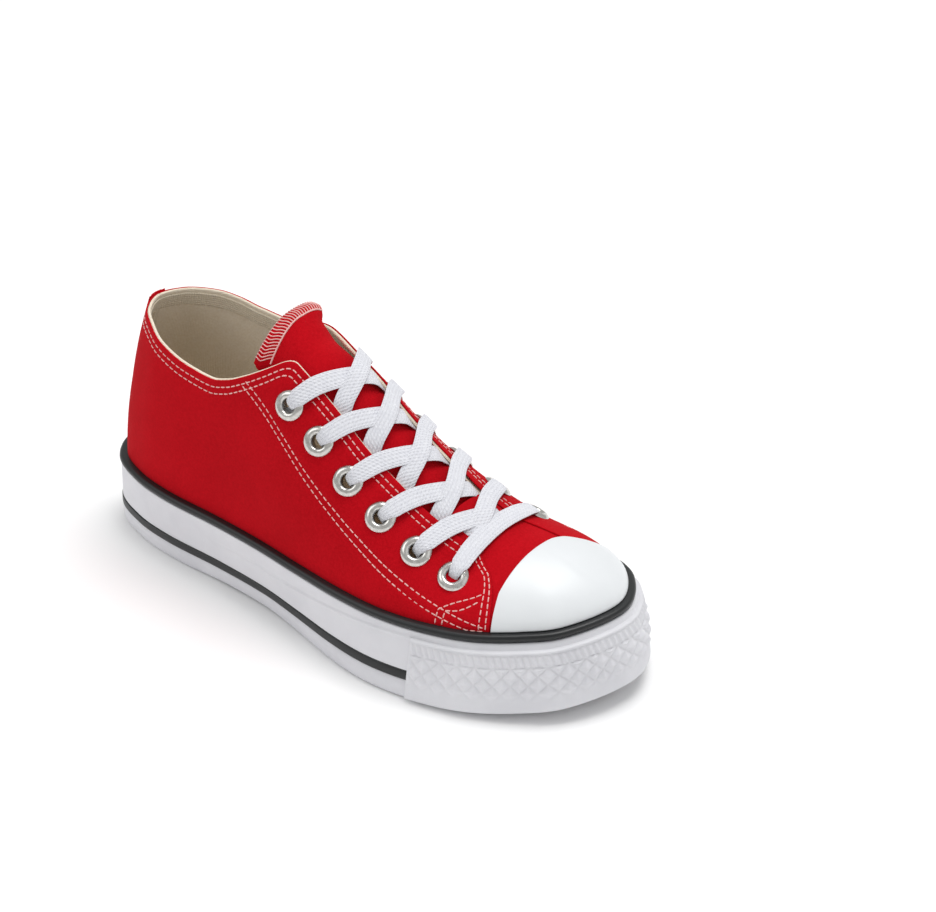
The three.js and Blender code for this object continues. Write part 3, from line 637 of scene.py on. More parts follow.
def treadHeight(x, y):
    s = soleLook
    zig = np.abs(np.mod(y / 11.0, 2) - 1) * 2 - 1  # -1..1 across each tooth
    along = x + zig * s["treadSwing"]
    d = np.abs(np.mod(along / s["treadPitch"] + 0.5, 1) - 0.5) * s["treadPitch"]
    groove = 1 - stepUp(s["treadWidth"] / 2 - 0.35, s["treadWidth"] / 2 + 0.35, d)
    field = stepUp(24, 27, x) * (1 - stepUp(63, 66, x)) + stepUp(156, 159, x) * (1 - stepUp(238, 241, x))
    return groove * field * s["treadDepth"]


def makeTread():
    grid = pairedGrid(soleLook["treadRim"], 300, 104)
    grid[..., 2] += arch(grid[..., 0])
    ground = grid.copy()
    edge = np.abs(np.linspace(-1, 1, grid.shape[1]))[None, :]
    ground[..., 2] += treadHeight(grid[..., 0], grid[..., 1]) * (1 - stepUp(0.95, 0.99, edge))
    top = grid.copy()
    top[..., 2] += 6
    addSheet("treadField", top, ground, whiteRubber, sharp=50)


def ridgeHeight(x):
    # the moulded line on the band: high at the toe, lower towards the waist
    return 23.6 + 5.4 * stepUp(110, 195, x)


def makeFoxing():
    z = np.concatenate([[13.9, 13.75, 14.2], np.linspace(14.8, 31.6, 44), [32.0, 32.2, 32.1]])
    out = np.concatenate([[-0.5, -0.25, -0.05], np.zeros(44), [-0.1, -0.35, -0.8]])
    uu, zz = np.meshgrid(soleU, z, indexing="ij")
    x = outlineAt(uu, 0 * uu)[..., 0]
    line = ridgeHeight(x)
    fade = stepUp(60, 120, x) * 0.55
    bead = fade * np.exp(-(((zz - line) / 0.55) ** 2)) + 0.25 * fade * stepUp(0, 0.8, line - zz)
    wall = wallPoint(uu, zz, out[None, :] + bead)
    inner = np.stack([innerPoint(soleU, 32.1, 3.0), innerPoint(soleU, 13.9, 3.0)], 1)
    addSweep(
        "foxingBand", np.concatenate([wall, inner], 1), whiteRubber, standsFor=["foxing"],
        sharp=60,
    )


bumperLook = {"from": 195.0, "thick": 1.2, "low": 1.6, "high": 29.6, "ribPitch": 2.8,
    "ribLean": 0.35, "ribHeight": 0.75,
              "diamondWide": 7.2, "diamondTall": 7.6, "diamondHeight": 1.35, "diamondLow": 9.0,
              "diamondHigh": 22.2}
bumperU = (
    float(solveRising(lambda v: outlineAt(v, 0 * v)[..., 0], bumperLook["from"], 0, 0.5)),
    float(solveRising(lambda v: -outlineAt(v, 0 * v)[..., 0], -bumperLook["from"], 0.5, 1)),
)


def makeStripe():
    u, _ = evenRound(300, bumperU[1] - 1, bumperU[0])
    profile = [
        (-1.5, 9.45), (-0.1, 9.45), (0.2, 9.7), (0.32, 10.3), (0.32, 12.8), (0.2, 13.4), (-0.1, 13.65),
        (-1.5, 13.65),
    ]
    addSweep(
        "sideStripe", soleLoops(u, profile), blackRubber, ringI=False,
        standsFor=["side_stripe"],
    )


def makeWelt():
    loops = [innerPoint(soleU, 32.3, 3.2)]
    for k in np.linspace(-0.5, 0.5, 13):
        angle = k * math.pi
        loops.append(innerPoint(soleU, 34.1 + 1.75 * math.sin(angle), 1.0 - 1.75 * math.cos(angle)))
    loops.append(innerPoint(soleU, 35.9, 3.2))
    addSweep("weltCord", np.stack(loops, 1), blackRubber, standsFor=["welt"], sharp=60)


def bumperRelief(s, z):
    b = bumperLook
    rib = 0.5 + 0.5 * np.cos(2 * math.pi * (s + (z - 22) * b["ribLean"]) / b["ribPitch"])
    ribs = b["ribHeight"] * rib**0.8 * stepUp(22.5, 23.2, z) * (1 - stepUp(27.2, 27.9, z))
    p, q = s / b["diamondWide"], (z - b["diamondHigh"]) / b["diamondTall"]
    da = np.abs(np.mod(p + q, 1) - 0.5) * 2
    db = np.abs(np.mod(p - q, 1) - 0.5) * 2
    studs = np.minimum(1 - da, 1 - db) * 1.0
    studs = b["diamondHeight"] * clamp(studs * 1.15, 0, 1) ** 0.85
    studs = studs * stepUp(
        b["diamondLow"] - 3.0, b["diamondLow"] + 3.5, z
    ) * (1 - stepUp(b["diamondHigh"] - 0.5, b["diamondHigh"] + 0.2, z))
    bead = 0.75 * np.exp(-(((z - 28.8) / 0.6) ** 2))
    return ribs + studs + bead


def makeBumper():
    b = bumperLook
    u, length = evenRound(3, bumperU[0], bumperU[1])
    fine, _ = evenRound(900, bumperU[0], bumperU[1])
    runU = np.linspace(0, 1, len(fine))

    def surface(a, k, out):
        uu = np.interp(a, runU, fine)
        return wallPoint(uu, mix(b["low"], b["high"], k), out)

    def lift(a, k):
        z = mix(b["low"], b["high"], k)
        ends = stepUp(0, 0.012, a) * (1 - stepUp(0.988, 1, a))
        return bumperRelief(a * length, z) * ends

    addSoftSheet(
        "toeBumperBand", surface, 440, 62, length, b["high"] - b["low"], b["thick"], -0.4, whiteRubber,
        ["toe_bumper"], 0.6, lift,
    )


makeSoleEdge()
makeTread()
makeFoxing()
makeStripe()
makeWelt()
makeBumper()
print("sole ready")


# seams, as lines on the last: rows of (u, t)
def lineAtHeights(xs, zs, side, count=200):
    x = np.linspace(xs[0], xs[-1], count)
    table = {"x": list(xs), "z": list(zs)}
    u = uAtX(x, side)
    return u, tAtHeight(u, columnAt(table, "z", x))


def topLine(x, side, below):
    u = uAtX(x, side)
    return u, arcBelow(u, topEdgeAt(u), np.full(u.shape, float(below)))


quarterFront = {  # how far forward the quarters reach, by share of their height
    "x": [0, 0.29, 0.535, 0.657, 0.78, 0.8625, 0.93, 1],
    "lateral": [225.4, 224.8, 223.2, 221.3, 217.2, 212, 208.3, 204.5],
    "medial": [236, 237, 238, 239, 240, 240, 240, 240],
}


def quarterTop(u):
    # the facing's edge, carried straight on past the end of the throat
    base = basePoint(u)
    edge = topEdgeAt(u)
    onward = tAtHalf(u, columnAt(throat, "half", base[..., 0]))
    k = stepUp(188, 196, base[..., 0])
    return mix(np.minimum(edge, 0.99), onward, k)


def makeQuarterSurface(side):
    name = "lateral" if side < 0 else "medial"
    share = np.linspace(0, 1, 60)
    frontU = uAtX(columnAt(quarterFront, name, share), side)
    heelEnd = 0.0 if side < 0 else 1.0
    # the top edge as a table over u, so that the sheet can be laid quickly
    uTable = np.linspace(heelEnd, frontU[-1], 900)
    tTable = quarterTop(uTable)
    order = np.argsort(uTable)

    def surface(a, b, out):
        k = a if side < 0 else 1 - a
        u = mix(heelEnd, np.interp(b, share, frontU), k)
        top = np.interp(mix(heelEnd, frontU[-1], k), uTable[order], tTable[order])
        return u, top * b, out

    return surface


quarterSurface = {-1: makeQuarterSurface(-1), 1: makeQuarterSurface(1)}


def quarterPoint(side, a, b, out):
    u, t, rise = quarterSurface[side](a, b, out)
    return offLast(u, t, rise)


seamRows = []  # each: (u, t)


def addRow(u, t):
    seamRows.append((np.asarray(u), np.asarray(t)))


collarFrom, throatTo = 5.0, 203.0
for side in (-1, 1):
    x = np.linspace(collarFrom, throatTo, 420)
    for below in (3.3, 6.4) if side < 0 else (4.4, 7.6):
        addRow(*topLine(x, side, below))
    # the facing's two rows, from the collar down to the welt behind the cap
    eyestayX = [90.8, 102.2, 115.9, 129.1, 144.4, 161.7, 181.1, 199.3, 213.3, 223.0]
    eyestayZ = [107.3, 100.4, 89.8, 79.3, 69.0, 59.5, 50.6, 44.2, 40.9, 38.9]
    for drop in (0.0, 3.2):
        u, t = lineAtHeights(eyestayX, np.array(eyestayZ) - drop, side)
        below = t < topEdgeAt(u) - 0.012
        addRow(u[below], np.maximum(t[below], 0.05))
    # rows behind the quarter's front edge
    for back in (2.0, 5.2) if side < 0 else ():
        b = np.linspace(0.08, 0.985, 90)
        u, t, _ = quarterSurface[side](np.full(b.shape, 1 - back / 236), b, 0)
        addRow(u, t)
    # the small patch at the front corner
    for shift in (0.0, 3.0):
        addRow(*[np.concatenate(p) for p in zip(
            (
                uAtX(np.full(24, 203.2 + shift), side),
                tAtHeight(uAtX(np.full(24, 203.2 + shift), side), np.linspace(36.5, 42.6, 24)),
            ),
            lineAtHeights([203.2 + shift, 207.5 + shift, 218.0], [42.6, 45.2 - shift * 0.6,
            49.6 - shift * 0.7], side, 60))])


def stitchRun(points, normals, look):
    # small rounded stitches lying in the cloth; both ends dip under it
    run = np.concatenate([[0], np.cumsum(np.linalg.norm(np.diff(points, axis=0), axis=1))])
    count = max(int(round(run[-1] / look["pitch"])), 1)
    step = run[-1] / count
    verts, faces = [], []
    rings, sides = 6, 6
    for i in range(count):
        centre = (i + 0.5) * step
        for r in range(rings + 1):
            k = r / rings * 2 - 1
            s = centre + k * look["long"] / 2
            p = np.array([np.interp(s, run, points[:, c]) for c in range(3)])
            n = np.array([np.interp(s, run, normals[:, c]) for c in range(3)])
            q = np.array([np.interp(s + 0.2, run, points[:, c]) for c in range(3)])
            o = np.array([np.interp(s - 0.2, run, points[:, c]) for c in range(3)])
            along = q - o
            along /= np.linalg.norm(along) + 1e-9
            n /= np.linalg.norm(n)
            across = np.cross(n, along)
            thick = look["thick"] * (0.45 + 0.55 * math.sqrt(max(1 - k**4, 0)))
            lift = look["lift"] - look["dip"] * k**4
            for m in range(sides):
                angle = 2 * math.pi * m / sides
                verts.append(
                    p + n * (lift + thick * 0.8 * math.sin(angle)) + across * thick * math.cos(angle)
                )
        base = i * (rings + 1) * sides
        for r in range(rings):
            for m in range(sides):
                a, b = base + r * sides + m, base + r * sides + (m + 1) % sides
                faces.append([a, b, b + sides, a + sides])
        faces.append([base + m for m in range(sides)][::-1])
        faces.append([base + rings * sides + m for m in range(sides)])
    return np.array(verts), faces


def joinRuns(runs):
    verts, faces, start = [], [], 0
    for v, f in runs:
        verts.append(v)
        faces += [[k + start for k in face] for face in f]
        start += len(v)
    return np.concatenate(verts), faces


stitchLook = {"pitch": 3.0, "long": 2.55, "thick": 0.29, "lift": 0.12, "dip": 0.3}
panelLook = {
    "vamp": -0.5, "quarter": 0.3, "quarterUnder": -0.45, "liningIn": -2.0, "cap": 0.95, "puckerDeep": 0.22,
    "puckerWide": 1.0,
}

def indexSeams():
    places = np.concatenate([offLast(u, t, 0.0 * u) for u, t in seamRows])
    tree = KDTree(len(places))
    for i, p in enumerate(places):
        tree.insert(p, i)
    tree.balance()
    return tree


seamTree = indexSeams()


def seamTrough(points):
    # cloth is pulled in along every row of stitches
    flat = points.reshape(-1, 3)
    d = np.array([seamTree.find(p)[2] for p in flat]).reshape(points.shape[:-1])
    return -panelLook["puckerDeep"] * np.exp(-((d / panelLook["puckerWide"]) ** 2))


softCreases = [  # (x, z, reach along, reach up, depth, side): soft hollows and swells left by the last
    (
        60, 70, 26, 16, -0.5, -1
    ), (150, 48, 22, 8, -0.5, -1), (112, 62, 18, 14, 0.4, -1), (185, 42, 14, 5, 0.35, -1),
    (52, 66, 24, 16, -0.5, 1), (
        120, 60, 24, 12, -0.5, 1
    ), (165, 50, 18, 8, 0.4, 1), (12, 80, 8, 14, -0.3, -1),
]


def softLift(points):
    lift = np.zeros(points.shape[:-1])
    for x, z, reachX, reachZ, depth, side in softCreases:
        near = np.exp(-(((points[..., 0] - x) / reachX) ** 2) - ((points[..., 2] - z) / reachZ) ** 2)
        lift += depth * near * ((points[..., 1] - ridgeY(points[..., 0])) * side > 0)
    return lift


def makeQuarter(side):
    name = "quarterOuter" if side < 0 else "quarterInner"
    p = panelLook

    def surface(a, b, out):
        return quarterPoint(side, a, b, out)

    def lift(a, b):
        flat = quarterPoint(side, a, b, 0 * a)
        return seamTrough(flat) + softLift(flat)

    return addSoftSheet(
        name, surface, 270, 92, 236, 80, p["quarter"], p["quarterUnder"], canvasRed,
        ["upper"] if side < 0 else [], 0.45, lift,
    )


def makeVamp():
    u = np.linspace(float(uAtX(np.array(188.0), -1)), float(uAtX(np.array(188.0), 1)), 260)
    t = np.concatenate([np.linspace(0, 0.985, 56), [0.992, 0.9975, 1.0]])
    uu, tt = np.meshgrid(u, t, indexing="ij")
    points = lastPoint(uu, tt)
    creases = softLift(points)
    outer = offLast(uu, tt, panelLook["vamp"] + creases * 0.5)
    inner = offLast(uu, tt, -1.4 + 0 * uu)
    piece = addSheet("vamp", outer, inner, canvasRed, sharp=75)
    flat = np.concatenate([outer.reshape(-1, 3), inner.reshape(-1, 3)])[:, :2] * (1, 1.15)
    index = np.zeros(len(piece.data.loops), np.int32)
    piece.data.loops.foreach_get("vertex_index", index)
    piece.data.uv_layers["cloth"].data.foreach_set("uv", flat.astype(np.float32)[index].ravel())
    return piece


def makeLining():
    # the cream inner layer: floor to topline, a little above the red so that its edge shows
    n = 380
    fine = np.linspace(0, 1, 5001)[:-1]
    p = outlineAt(fine, -3.3 + 0 * fine)
    run = np.concatenate([
        [0], np.cumsum(np.linalg.norm(np.diff(np.concatenate([p, p[:1]]), axis=0), axis=1))
    ])
    u = np.interp(np.linspace(0, run[-1], n + 1)[:-1], run, np.linspace(0, 1, 5001))
    top = topEdgeAt(u)
    bx = basePoint(u)[:, 0]
    over = np.where(bx < shoe["throatEnd"], 0.5, 0)
    rise = arcBelow(u, top, 0 * top + 1.0)
    top = np.minimum(top + (top - rise) * over, 1.0)
    k = np.concatenate([np.linspace(0, 0.985, 50), [0.992, 0.997, 1.0]])
    tt = top[:, None] * k[None, :]
    uu = np.broadcast_to(u[:, None], tt.shape)
    front = stepUp(168, 184, bx)[:, None]
    outerOut = mix(-0.5, -1.5, front) + 0 * tt
    middle = (outerOut - 2.0) / 2
    roll = np.concatenate([np.zeros(50), [0.12, 0.5, 1.0]])[None, :] * (bx < shoe["throatEnd"] - 3)[:, None]
    outer = offLast(uu, tt, mix(outerOut, middle, roll))
    inner = offLast(uu, tt, mix(-2.0 + 0 * tt, middle, roll))
    low = shoe["coreTop"] + 0.3 + spring(outer[:, :1, 0])
    drop = lambda grid: np.concatenate([np.concatenate([grid[:, :1, :2], low[..., None]], -1), grid], 1)
    return addSheet("lining", drop(outer), drop(inner), canvasInside, ringI=True, sharp=75)


def makeHeelStrip():
    half = 9.3

    def surface(a, b, out):
        across = (a - 0.5) * 2 * half
        u = across / soleRound * 1.08
        top = topEdgeAt(u) + 0.002
        t = top * b
        narrow = 1 - 0.1 * b
        return offLast(u * narrow, t, out)

    def lift(a, b):
        d = np.abs(np.abs((a - 0.5) * 2 * half) - (half - 2.2))
        return -0.22 * np.exp(-((d / 0.9) ** 2))

    addSoftSheet(
        "heelStrip", surface, 36, 110, 2 * half, 80, 1.15, 0.32, canvasRed, [], 0.4, lift
    )


def makeToeCap():
    capRear = {
        "x": [-38, -34, -28, -12, 6, 13, 20, 27, 38],
        "rear": [226, 224.3, 222.8, 222, 222.8, 224.6, 229.5, 234.5, 239],
    }
    u = np.linspace(float(uAtX(np.array(215.0), -1)), float(uAtX(np.array(215.0), 1)), 900)

    def behind(t):
        p = lastPoint(u, t)
        return columnAt(capRear, "rear", p[..., 1] - 6) - p[..., 0]

    edge = solveRising(behind, np.zeros(len(u)), 0, 0.995)
    low = tAtHeight(u, 36.0 + spring(basePoint(u)[:, 0]))
    keep = edge > low + 0.012
    u, edge, low = u[keep], edge[keep], low[keep]
    run = np.concatenate([[0], np.cumsum(np.linalg.norm(np.diff(offLast(u, edge, 0 * u), axis=0), axis=1))])
    run /= run[-1]

    def surface(a, b, out):
        uu = np.interp(a, run, u)
        return offLast(uu, mix(np.interp(a, run, low), np.interp(a, run, edge), b), out)

    addSoftSheet(
        "toeCapRubber", surface, 150, 52, 130, 30, panelLook["cap"], -0.3, capRubber,
        ["toe_cap"], 0.55,
    )


lining = makeLining()
quarterOuter = makeQuarter(-1)
quarterInner = makeQuarter(1)
vamp = makeVamp()
makeHeelStrip()
makeToeCap()
print("upper ready")


def makeStitches():
    runs = []
    for u, t in seamRows:
        points = offLast(u, t, 0 * u + panelLook["quarter"] - panelLook["puckerDeep"])
        runs.append(stitchRun(points, lastNormal(u, t), stitchLook))
    for side in (-1, 1):
        b = np.linspace(0.06, 0.985, 120)
        u = side * 7.1 / soleRound * 1.08 * (1 - 0.1 * b)
        t = topEdgeAt(u) * b
        points = offLast(u, t, 0 * u + 0.98)
        runs.append(stitchRun(points, lastNormal(u, t), stitchLook))
    verts, faces = joinRuns(runs)
    addPiece("seamStitches", verts, faces, seamThread, sharp=80)


makeStitches()
print("stitches ready")


# eyelets
eyeletLook = {"rows": [116, 132.5, 149, 166.5, 185, 202.5], "outer": 6.2, "bore": 2.9, "fromEdge": 16.5}


def eyeletPlace(x, side):
    u = uAtX(np.array([float(x)]), side)
    t = tAtHalf(u, columnAt(throat, "half", np.array([float(x)])))
    down = arcBelow(u, t, np.array([eyeletLook["fromEdge"]]), 200)
    point, normal = lastPoint(u, down)[0], lastNormal(u, down)[0]
    above = lastPoint(u, down + 0.01)[0]
    inward = above - point  # towards the throat
    inward -= normal * np.dot(inward, normal)
    return {"point": point, "normal": normal, "inward": inward / np.linalg.norm(inward), "u": u, "t": down}


eyelets = {(row, side): eyeletPlace(x, side) for row, x in enumerate(eyeletLook["rows"]) for side in (-1, 1)}


def cutHoles(panels):
    # punches the lace holes through the layers
    verts, faces = [], []
    sides = 20
    for place in eyelets.values():
        side = np.cross(place["normal"], place["inward"])
        base = len(verts)
        for level in (-8, 8):
            for m in range(sides):
                angle = 2 * math.pi * m / sides
                ring = place["inward"] * math.cos(angle) + side * math.sin(angle)
                verts.append(place["point"] + place["normal"] * level + ring * 3.4)
        faces.append([base + m for m in range(sides)][::-1])
        faces.append([base + sides + m for m in range(sides)])
        for m in range(sides):
            n = (m + 1) % sides
            faces.append([base + m, base + n, base + sides + n, base + sides + m])
    mesh = bpy.data.meshes.new("punch")
    mesh.from_pydata(toFrame(verts).tolist(), [], faces)
    punch = bpy.data.objects.new("punch", mesh)
    bpy.context.scene.collection.objects.link(punch)
    for panel in panels:
        cut = panel.modifiers.new("holes", "BOOLEAN")
        cut.object = punch
        cut.operation = "DIFFERENCE"
        cut.solver = "EXACT"
        graph = bpy.context.evaluated_depsgraph_get()
        result = bpy.data.meshes.new_from_object(panel.evaluated_get(graph))
        panel.modifiers.clear()
        panel.data = result
    bpy.data.objects.remove(punch)


def makeEyelets():
    e = eyeletLook
    profile = [
        (2.9, -2.9), (2.9, -0.5), (2.95, 0.4), (3.15, 1.0), (3.7, 1.5), (4.4, 1.7), (5.1, 1.6), (5.8, 1.2),
        (6.35, 0.75), (6.65, 0.3), (6.55, 0.05), (6.0, 0.0), (3.3, 0.0), (3.3, -2.4), (4.6, -2.5),
        (4.9, -2.75), (4.4, -3.05), (3.4, -3.1),
    ]
    sides = 40
    runs = []
    for place in eyelets.values():
        across = np.cross(place["normal"], place["inward"])
        loops = []
        for m in range(sides):
            angle = 2 * math.pi * m / sides
            ring = place["inward"] * math.cos(angle) + across * math.sin(angle)
            loops.append([place["point"] + ring * r + place["normal"] * (
                z + 0.25 if z > -1 else z
            ) for r, z in profile])
        faces = gridFaces(sides, len(profile), True, True, flip=True)
        runs.append((np.array(loops).reshape(-1, 3), faces.tolist()))
    verts, faces = joinRuns(runs)
    nodes = ["eyelet_%s_%d" % (name, row) for name in ("lateral", "medial") for row in range(1, 7)]
    addPiece("eyeletRings", verts, faces, nickel, sharp=50, standsFor=nodes)


cutHoles([quarterOuter, quarterInner, lining])
makeEyelets()
print("eyelets ready")

# tongue
tongueRows = {  # crown height, half widths and drops to each side, place of the crown
    "x": [95, 98, 101, 104, 108, 112, 120, 134, 160, 200],
    "crown": [130, 130, 128.5, 126, 123, 119.8, 115, 106, 85, 58],
    "halfOuter": [28.5, 24.5, 20.5, 18.5, 18.5, 18.5, 18, 19.5, 19, 16],
    "halfInner": [17, 16.5, 15, 11.8, 11.4, 13, 16, 19.5, 19, 16],
    "lateral": [18, 16.5, 15, 14, 14, 14, 14, 12, 10, 6],
    "medial": [4, 4, 3.5, 3.5, 3.5, 6, 10, 12, 10, 6],
    "centre": [1, 1, 0.5, 0, -0.4, -1, -2, -2, -2, 2],
}
tongueLook = {"slant": 4.0, "thick": 1.9, "under": 2.8, "band": 5.6, "threads": 27, "threadThick": 0.27}


def tonguePoint(x, across, depth):
    outer = across < 0
    half = np.where(outer, columnAt(tongueRows, "halfOuter", x), columnAt(tongueRows, "halfInner", x))
    drop = np.where(
        outer, columnAt(tongueRows, "lateral", x) * across**2,
        columnAt(tongueRows, "medial", x) * np.abs(across) ** 3.4,
    )
    slant = tongueLook["slant"] * np.minimum(across, 0) * (1 - stepUp(96, 112, x))
    y = columnAt(tongueRows, "centre", x) + across * half - slant * 1.17
    z = columnAt(tongueRows, "crown", x) - drop - depth + slant * 0.87
    free = np.stack([x + slant, y, z], -1)
    u = np.where(across < 0, uAtX(x + 0 * across, -1), uAtX(x + 0 * across, 1))
    t = np.minimum(tAtHalf(u, np.maximum(np.abs(across) * half, 0.15)), 0.9985)
    under = offLast(u, t, -tongueLook["under"] - depth)
    k = stepUp(108, 126, x)[..., None]
    return free * (1 - k) + under * k


def tongueFree(x, across, depth):
    # the free end's corners are rounded
    half = 1 - 0.12 * (1 - stepUp(95, 99, x)) ** 2
    return tonguePoint(x, across * half, depth)


def makeTongue():
    def surface(a, b, out):
        return tongueFree(mix(95.2, 200.0, b), mix(1.0, -1.0, a), -out)

    addSoftSheet(
        "tongueCloth", surface, 54, 110, 38, 105, 0.0, -tongueLook["thick"], canvasRed,
        ["tongue"], 0.6,
    )
    # overlocked end: close threads laid over the edge, with one row along them
    runs = []
    g = tongueLook
    across = np.linspace(-0.97, 0.97, 160)
    edge = tongueFree(np.full(160, 95.2), across, 0)
    run = np.concatenate([[0], np.cumsum(np.linalg.norm(np.diff(edge, axis=0), axis=1))])
    for i in range(g["threads"]):
        c = np.interp((i + 0.5) / g["threads"] * run[-1], run, across)
        x = np.linspace(95.4, 95.2 + g["band"], 9)
        top = tongueFree(x, np.full(9, c) + 0.01 * (x - 95), -0.12)
        tip = tongueFree(np.array([95.2]), np.array([c]), np.array([0.9]))
        tip[:, 0] -= 0.35
        under = tongueFree(np.linspace(95.6, 98, 3), np.full(3, c), g["thick"] + 0.15)[::-1]
        line = np.concatenate([under, tip, top])
        runs.append(tubeRun(line, g["threadThick"]))
    c = np.linspace(-0.97, 0.97, 120)
    line = tongueFree(np.full(120, 95.2 + g["band"]), c, -0.2)
    runs.append(tubeRun(line, 0.4))
    verts, faces = joinRuns(runs)
    addPiece("tongueOverlock", verts, faces, seamThread, sharp=80)


def tubeRun(line, radius, sides=6):
    line = np.asarray(line)
    along = np.gradient(line, axis=0)
    along = unit(along)
    seed = np.array([0.31, 0.52, 0.79])
    across = unit(np.cross(along, seed))
    up = np.cross(across, along)
    verts = []
    for m in range(sides):
        angle = 2 * math.pi * m / sides
        verts.append(line + radius * (across * math.cos(angle) + up * math.sin(angle)))
    verts = np.stack(verts, 1)
    faces = gridFaces(len(line), sides, False, True).tolist()
    faces.append(list(range(sides)))
    faces.append(list(range((len(line) - 1) * sides, len(line) * sides))[::-1])
    return verts.reshape(-1, 3), faces


makeTongue()
print("tongue ready")


# insole, tape, heel seam
def makeInsole():
    grid = pairedGrid(6.6, 110, 50)
    edge = np.abs(np.linspace(-1, 1, grid.shape[1]))[None, :]
    dish = 0.9 * stepUp(0.7, 1.0, edge) + 0.5 * stepUp(0, 45, 45 - grid[..., 0])
    top, bottom = grid.copy(), grid.copy()
    top[..., 2] += shoe["coreTop"] + 4.0 + dish
    bottom[..., 2] += shoe["coreTop"] + 0.5
    addSheet("insolePad", top, bottom, insoleCloth, standsFor=["insole"], sharp=75)


def makeTape():
    # a flat tape sewn round the inside of the collar, and the seam up the back
    u = np.concatenate([
        np.linspace(float(uAtX(np.array(100.0), 1)), 1.0, 160),
        np.linspace(1.0, 1 + float(uAtX(np.array(86.0), -1)), 160)[1:],
    ])
    wrapped = np.mod(u, 1)
    top = arcBelow(wrapped, topEdgeAt(wrapped), 0 * u + 1.6)
    low = arcBelow(wrapped, topEdgeAt(wrapped), 0 * u + 8.2)

    def surface(a, b, out):
        run = np.linspace(0, 1, len(u))
        uu = np.interp(a, run, u)
        return offLast(uu, mix(np.interp(a, run, low), np.interp(a, run, top), b), out)

    addSoftSheet("collarTape", surface, 240, 10, 230, 6.6, -1.9, -2.45, tapeCloth, [], 0.3)
    wide = 4.0

    def strip(a, k, out):
        uu = (a - 0.5) * 2 * wide / soleRound * 1.1
        return offLast(uu, topEdgeAt(uu) * mix(0.02, 0.9, k), out)

    addSoftSheet("backSeamTape", strip, 12, 60, 2 * wide, 75, -1.9, -2.4, tapeCloth, [], 0.3)


makeInsole()
makeTape()
print("inside ready")

# lace
laceLook = {"wide": 8.4, "thick": 0.8, "holeWide": 4.6, "holeThick": 1.7, "steps": 12}
crossingAt = (1.0, 0.95, 0.9, 0.82, 0.62)  # each crossing's place between its two rows


def laceStop(x, side, half, out):
    u = uAtX(np.array([float(x)]), side)
    t = tAtHalf(u, np.array([float(half)]))
    return offLast(u, t, np.array([float(out)]))[0], lastNormal(u, t)[0]


def overStops(row, side, sign, aim):
    # from inside the hole over the rolled rim, straight towards the point it aims at
    e = eyelets[(row, side)]
    p, n = e["point"], e["normal"]
    d = aim - p
    d = d - n * np.dot(d, n)
    d /= np.linalg.norm(d)
    k = laceLook
    stops = [
        (p - n * 3.6, -d, k["holeWide"], k["holeThick"]),
        (p + n * 0.1 + d * 0.5, -d * 0.9 + n * 0.4, k["holeWide"], k["holeThick"]),
        (p + n * 2.15 + d * 2.9, n * 0.9 - d * 0.4, k["holeWide"] + 1.4, 1.3),
        (p + n * 2.3 + d * 6.6, n, k["wide"] - 0.4, k["thick"]),
    ]
    return [(q, f * sign, w, h) for q, f, w, h in stops]


def crossing(row, side, sign):
    # over its own facing, across the tongue and under the other facing one row down
    x0, x1 = eyeletLook["rows"][row], eyeletLook["rows"][row + 1]
    half = float(columnAt(throat, "half", (x0 + x1) / 2))
    k = laceLook
    high = 1.9 if side > 0 else 0.75
    middle = crossingAt[row]
    aim = laceStop(mix(x0, x1, middle * 0.55), side, half - 1.5, 1.2)[0]
    stops = overStops(row, side, sign, aim)
    path = (
        (middle * 0.52, side, half - 0.5, 1.5),
        (middle, side, 0.7, high),
        (middle + 0.16, -side, half - 5.5, -0.6 + 0.3 * high),
        (middle + 0.22, -side, half + 1.5, -2.7),
    )
    for at, who, reach, out in path:
        p, n = laceStop(mix(x0, x1, at), who, reach, out)
        stops.append((p, n * sign, k["wide"], k["thick"]))
    e = eyelets[(row + 1, -side)]
    stops.append((
        e["point"] + e["inward"] * 6.5 - e["normal"] * 3.3, e["normal"] * sign, k["wide"] - 1.5, k["thick"]
    ))
    return stops


def laceHalf(side):
    # one half of the lace, from its hidden end at the top eyelet down to the bar
    stops, sign = [], 1
    e = eyelets[(0, side)]
    p, n, d = e["point"], e["normal"], e["inward"]
    stops.append((p - n * 3.6 - d * 13, n * -sign, laceLook["wide"], laceLook["thick"]))
    stops.append((p - n * 3.7 - d * 5, n * -sign, 6.5, 1.2))
    for row in range(5):
        stops += crossing(row, side, sign)
        side, sign = -side, -sign
    return stops, side, sign


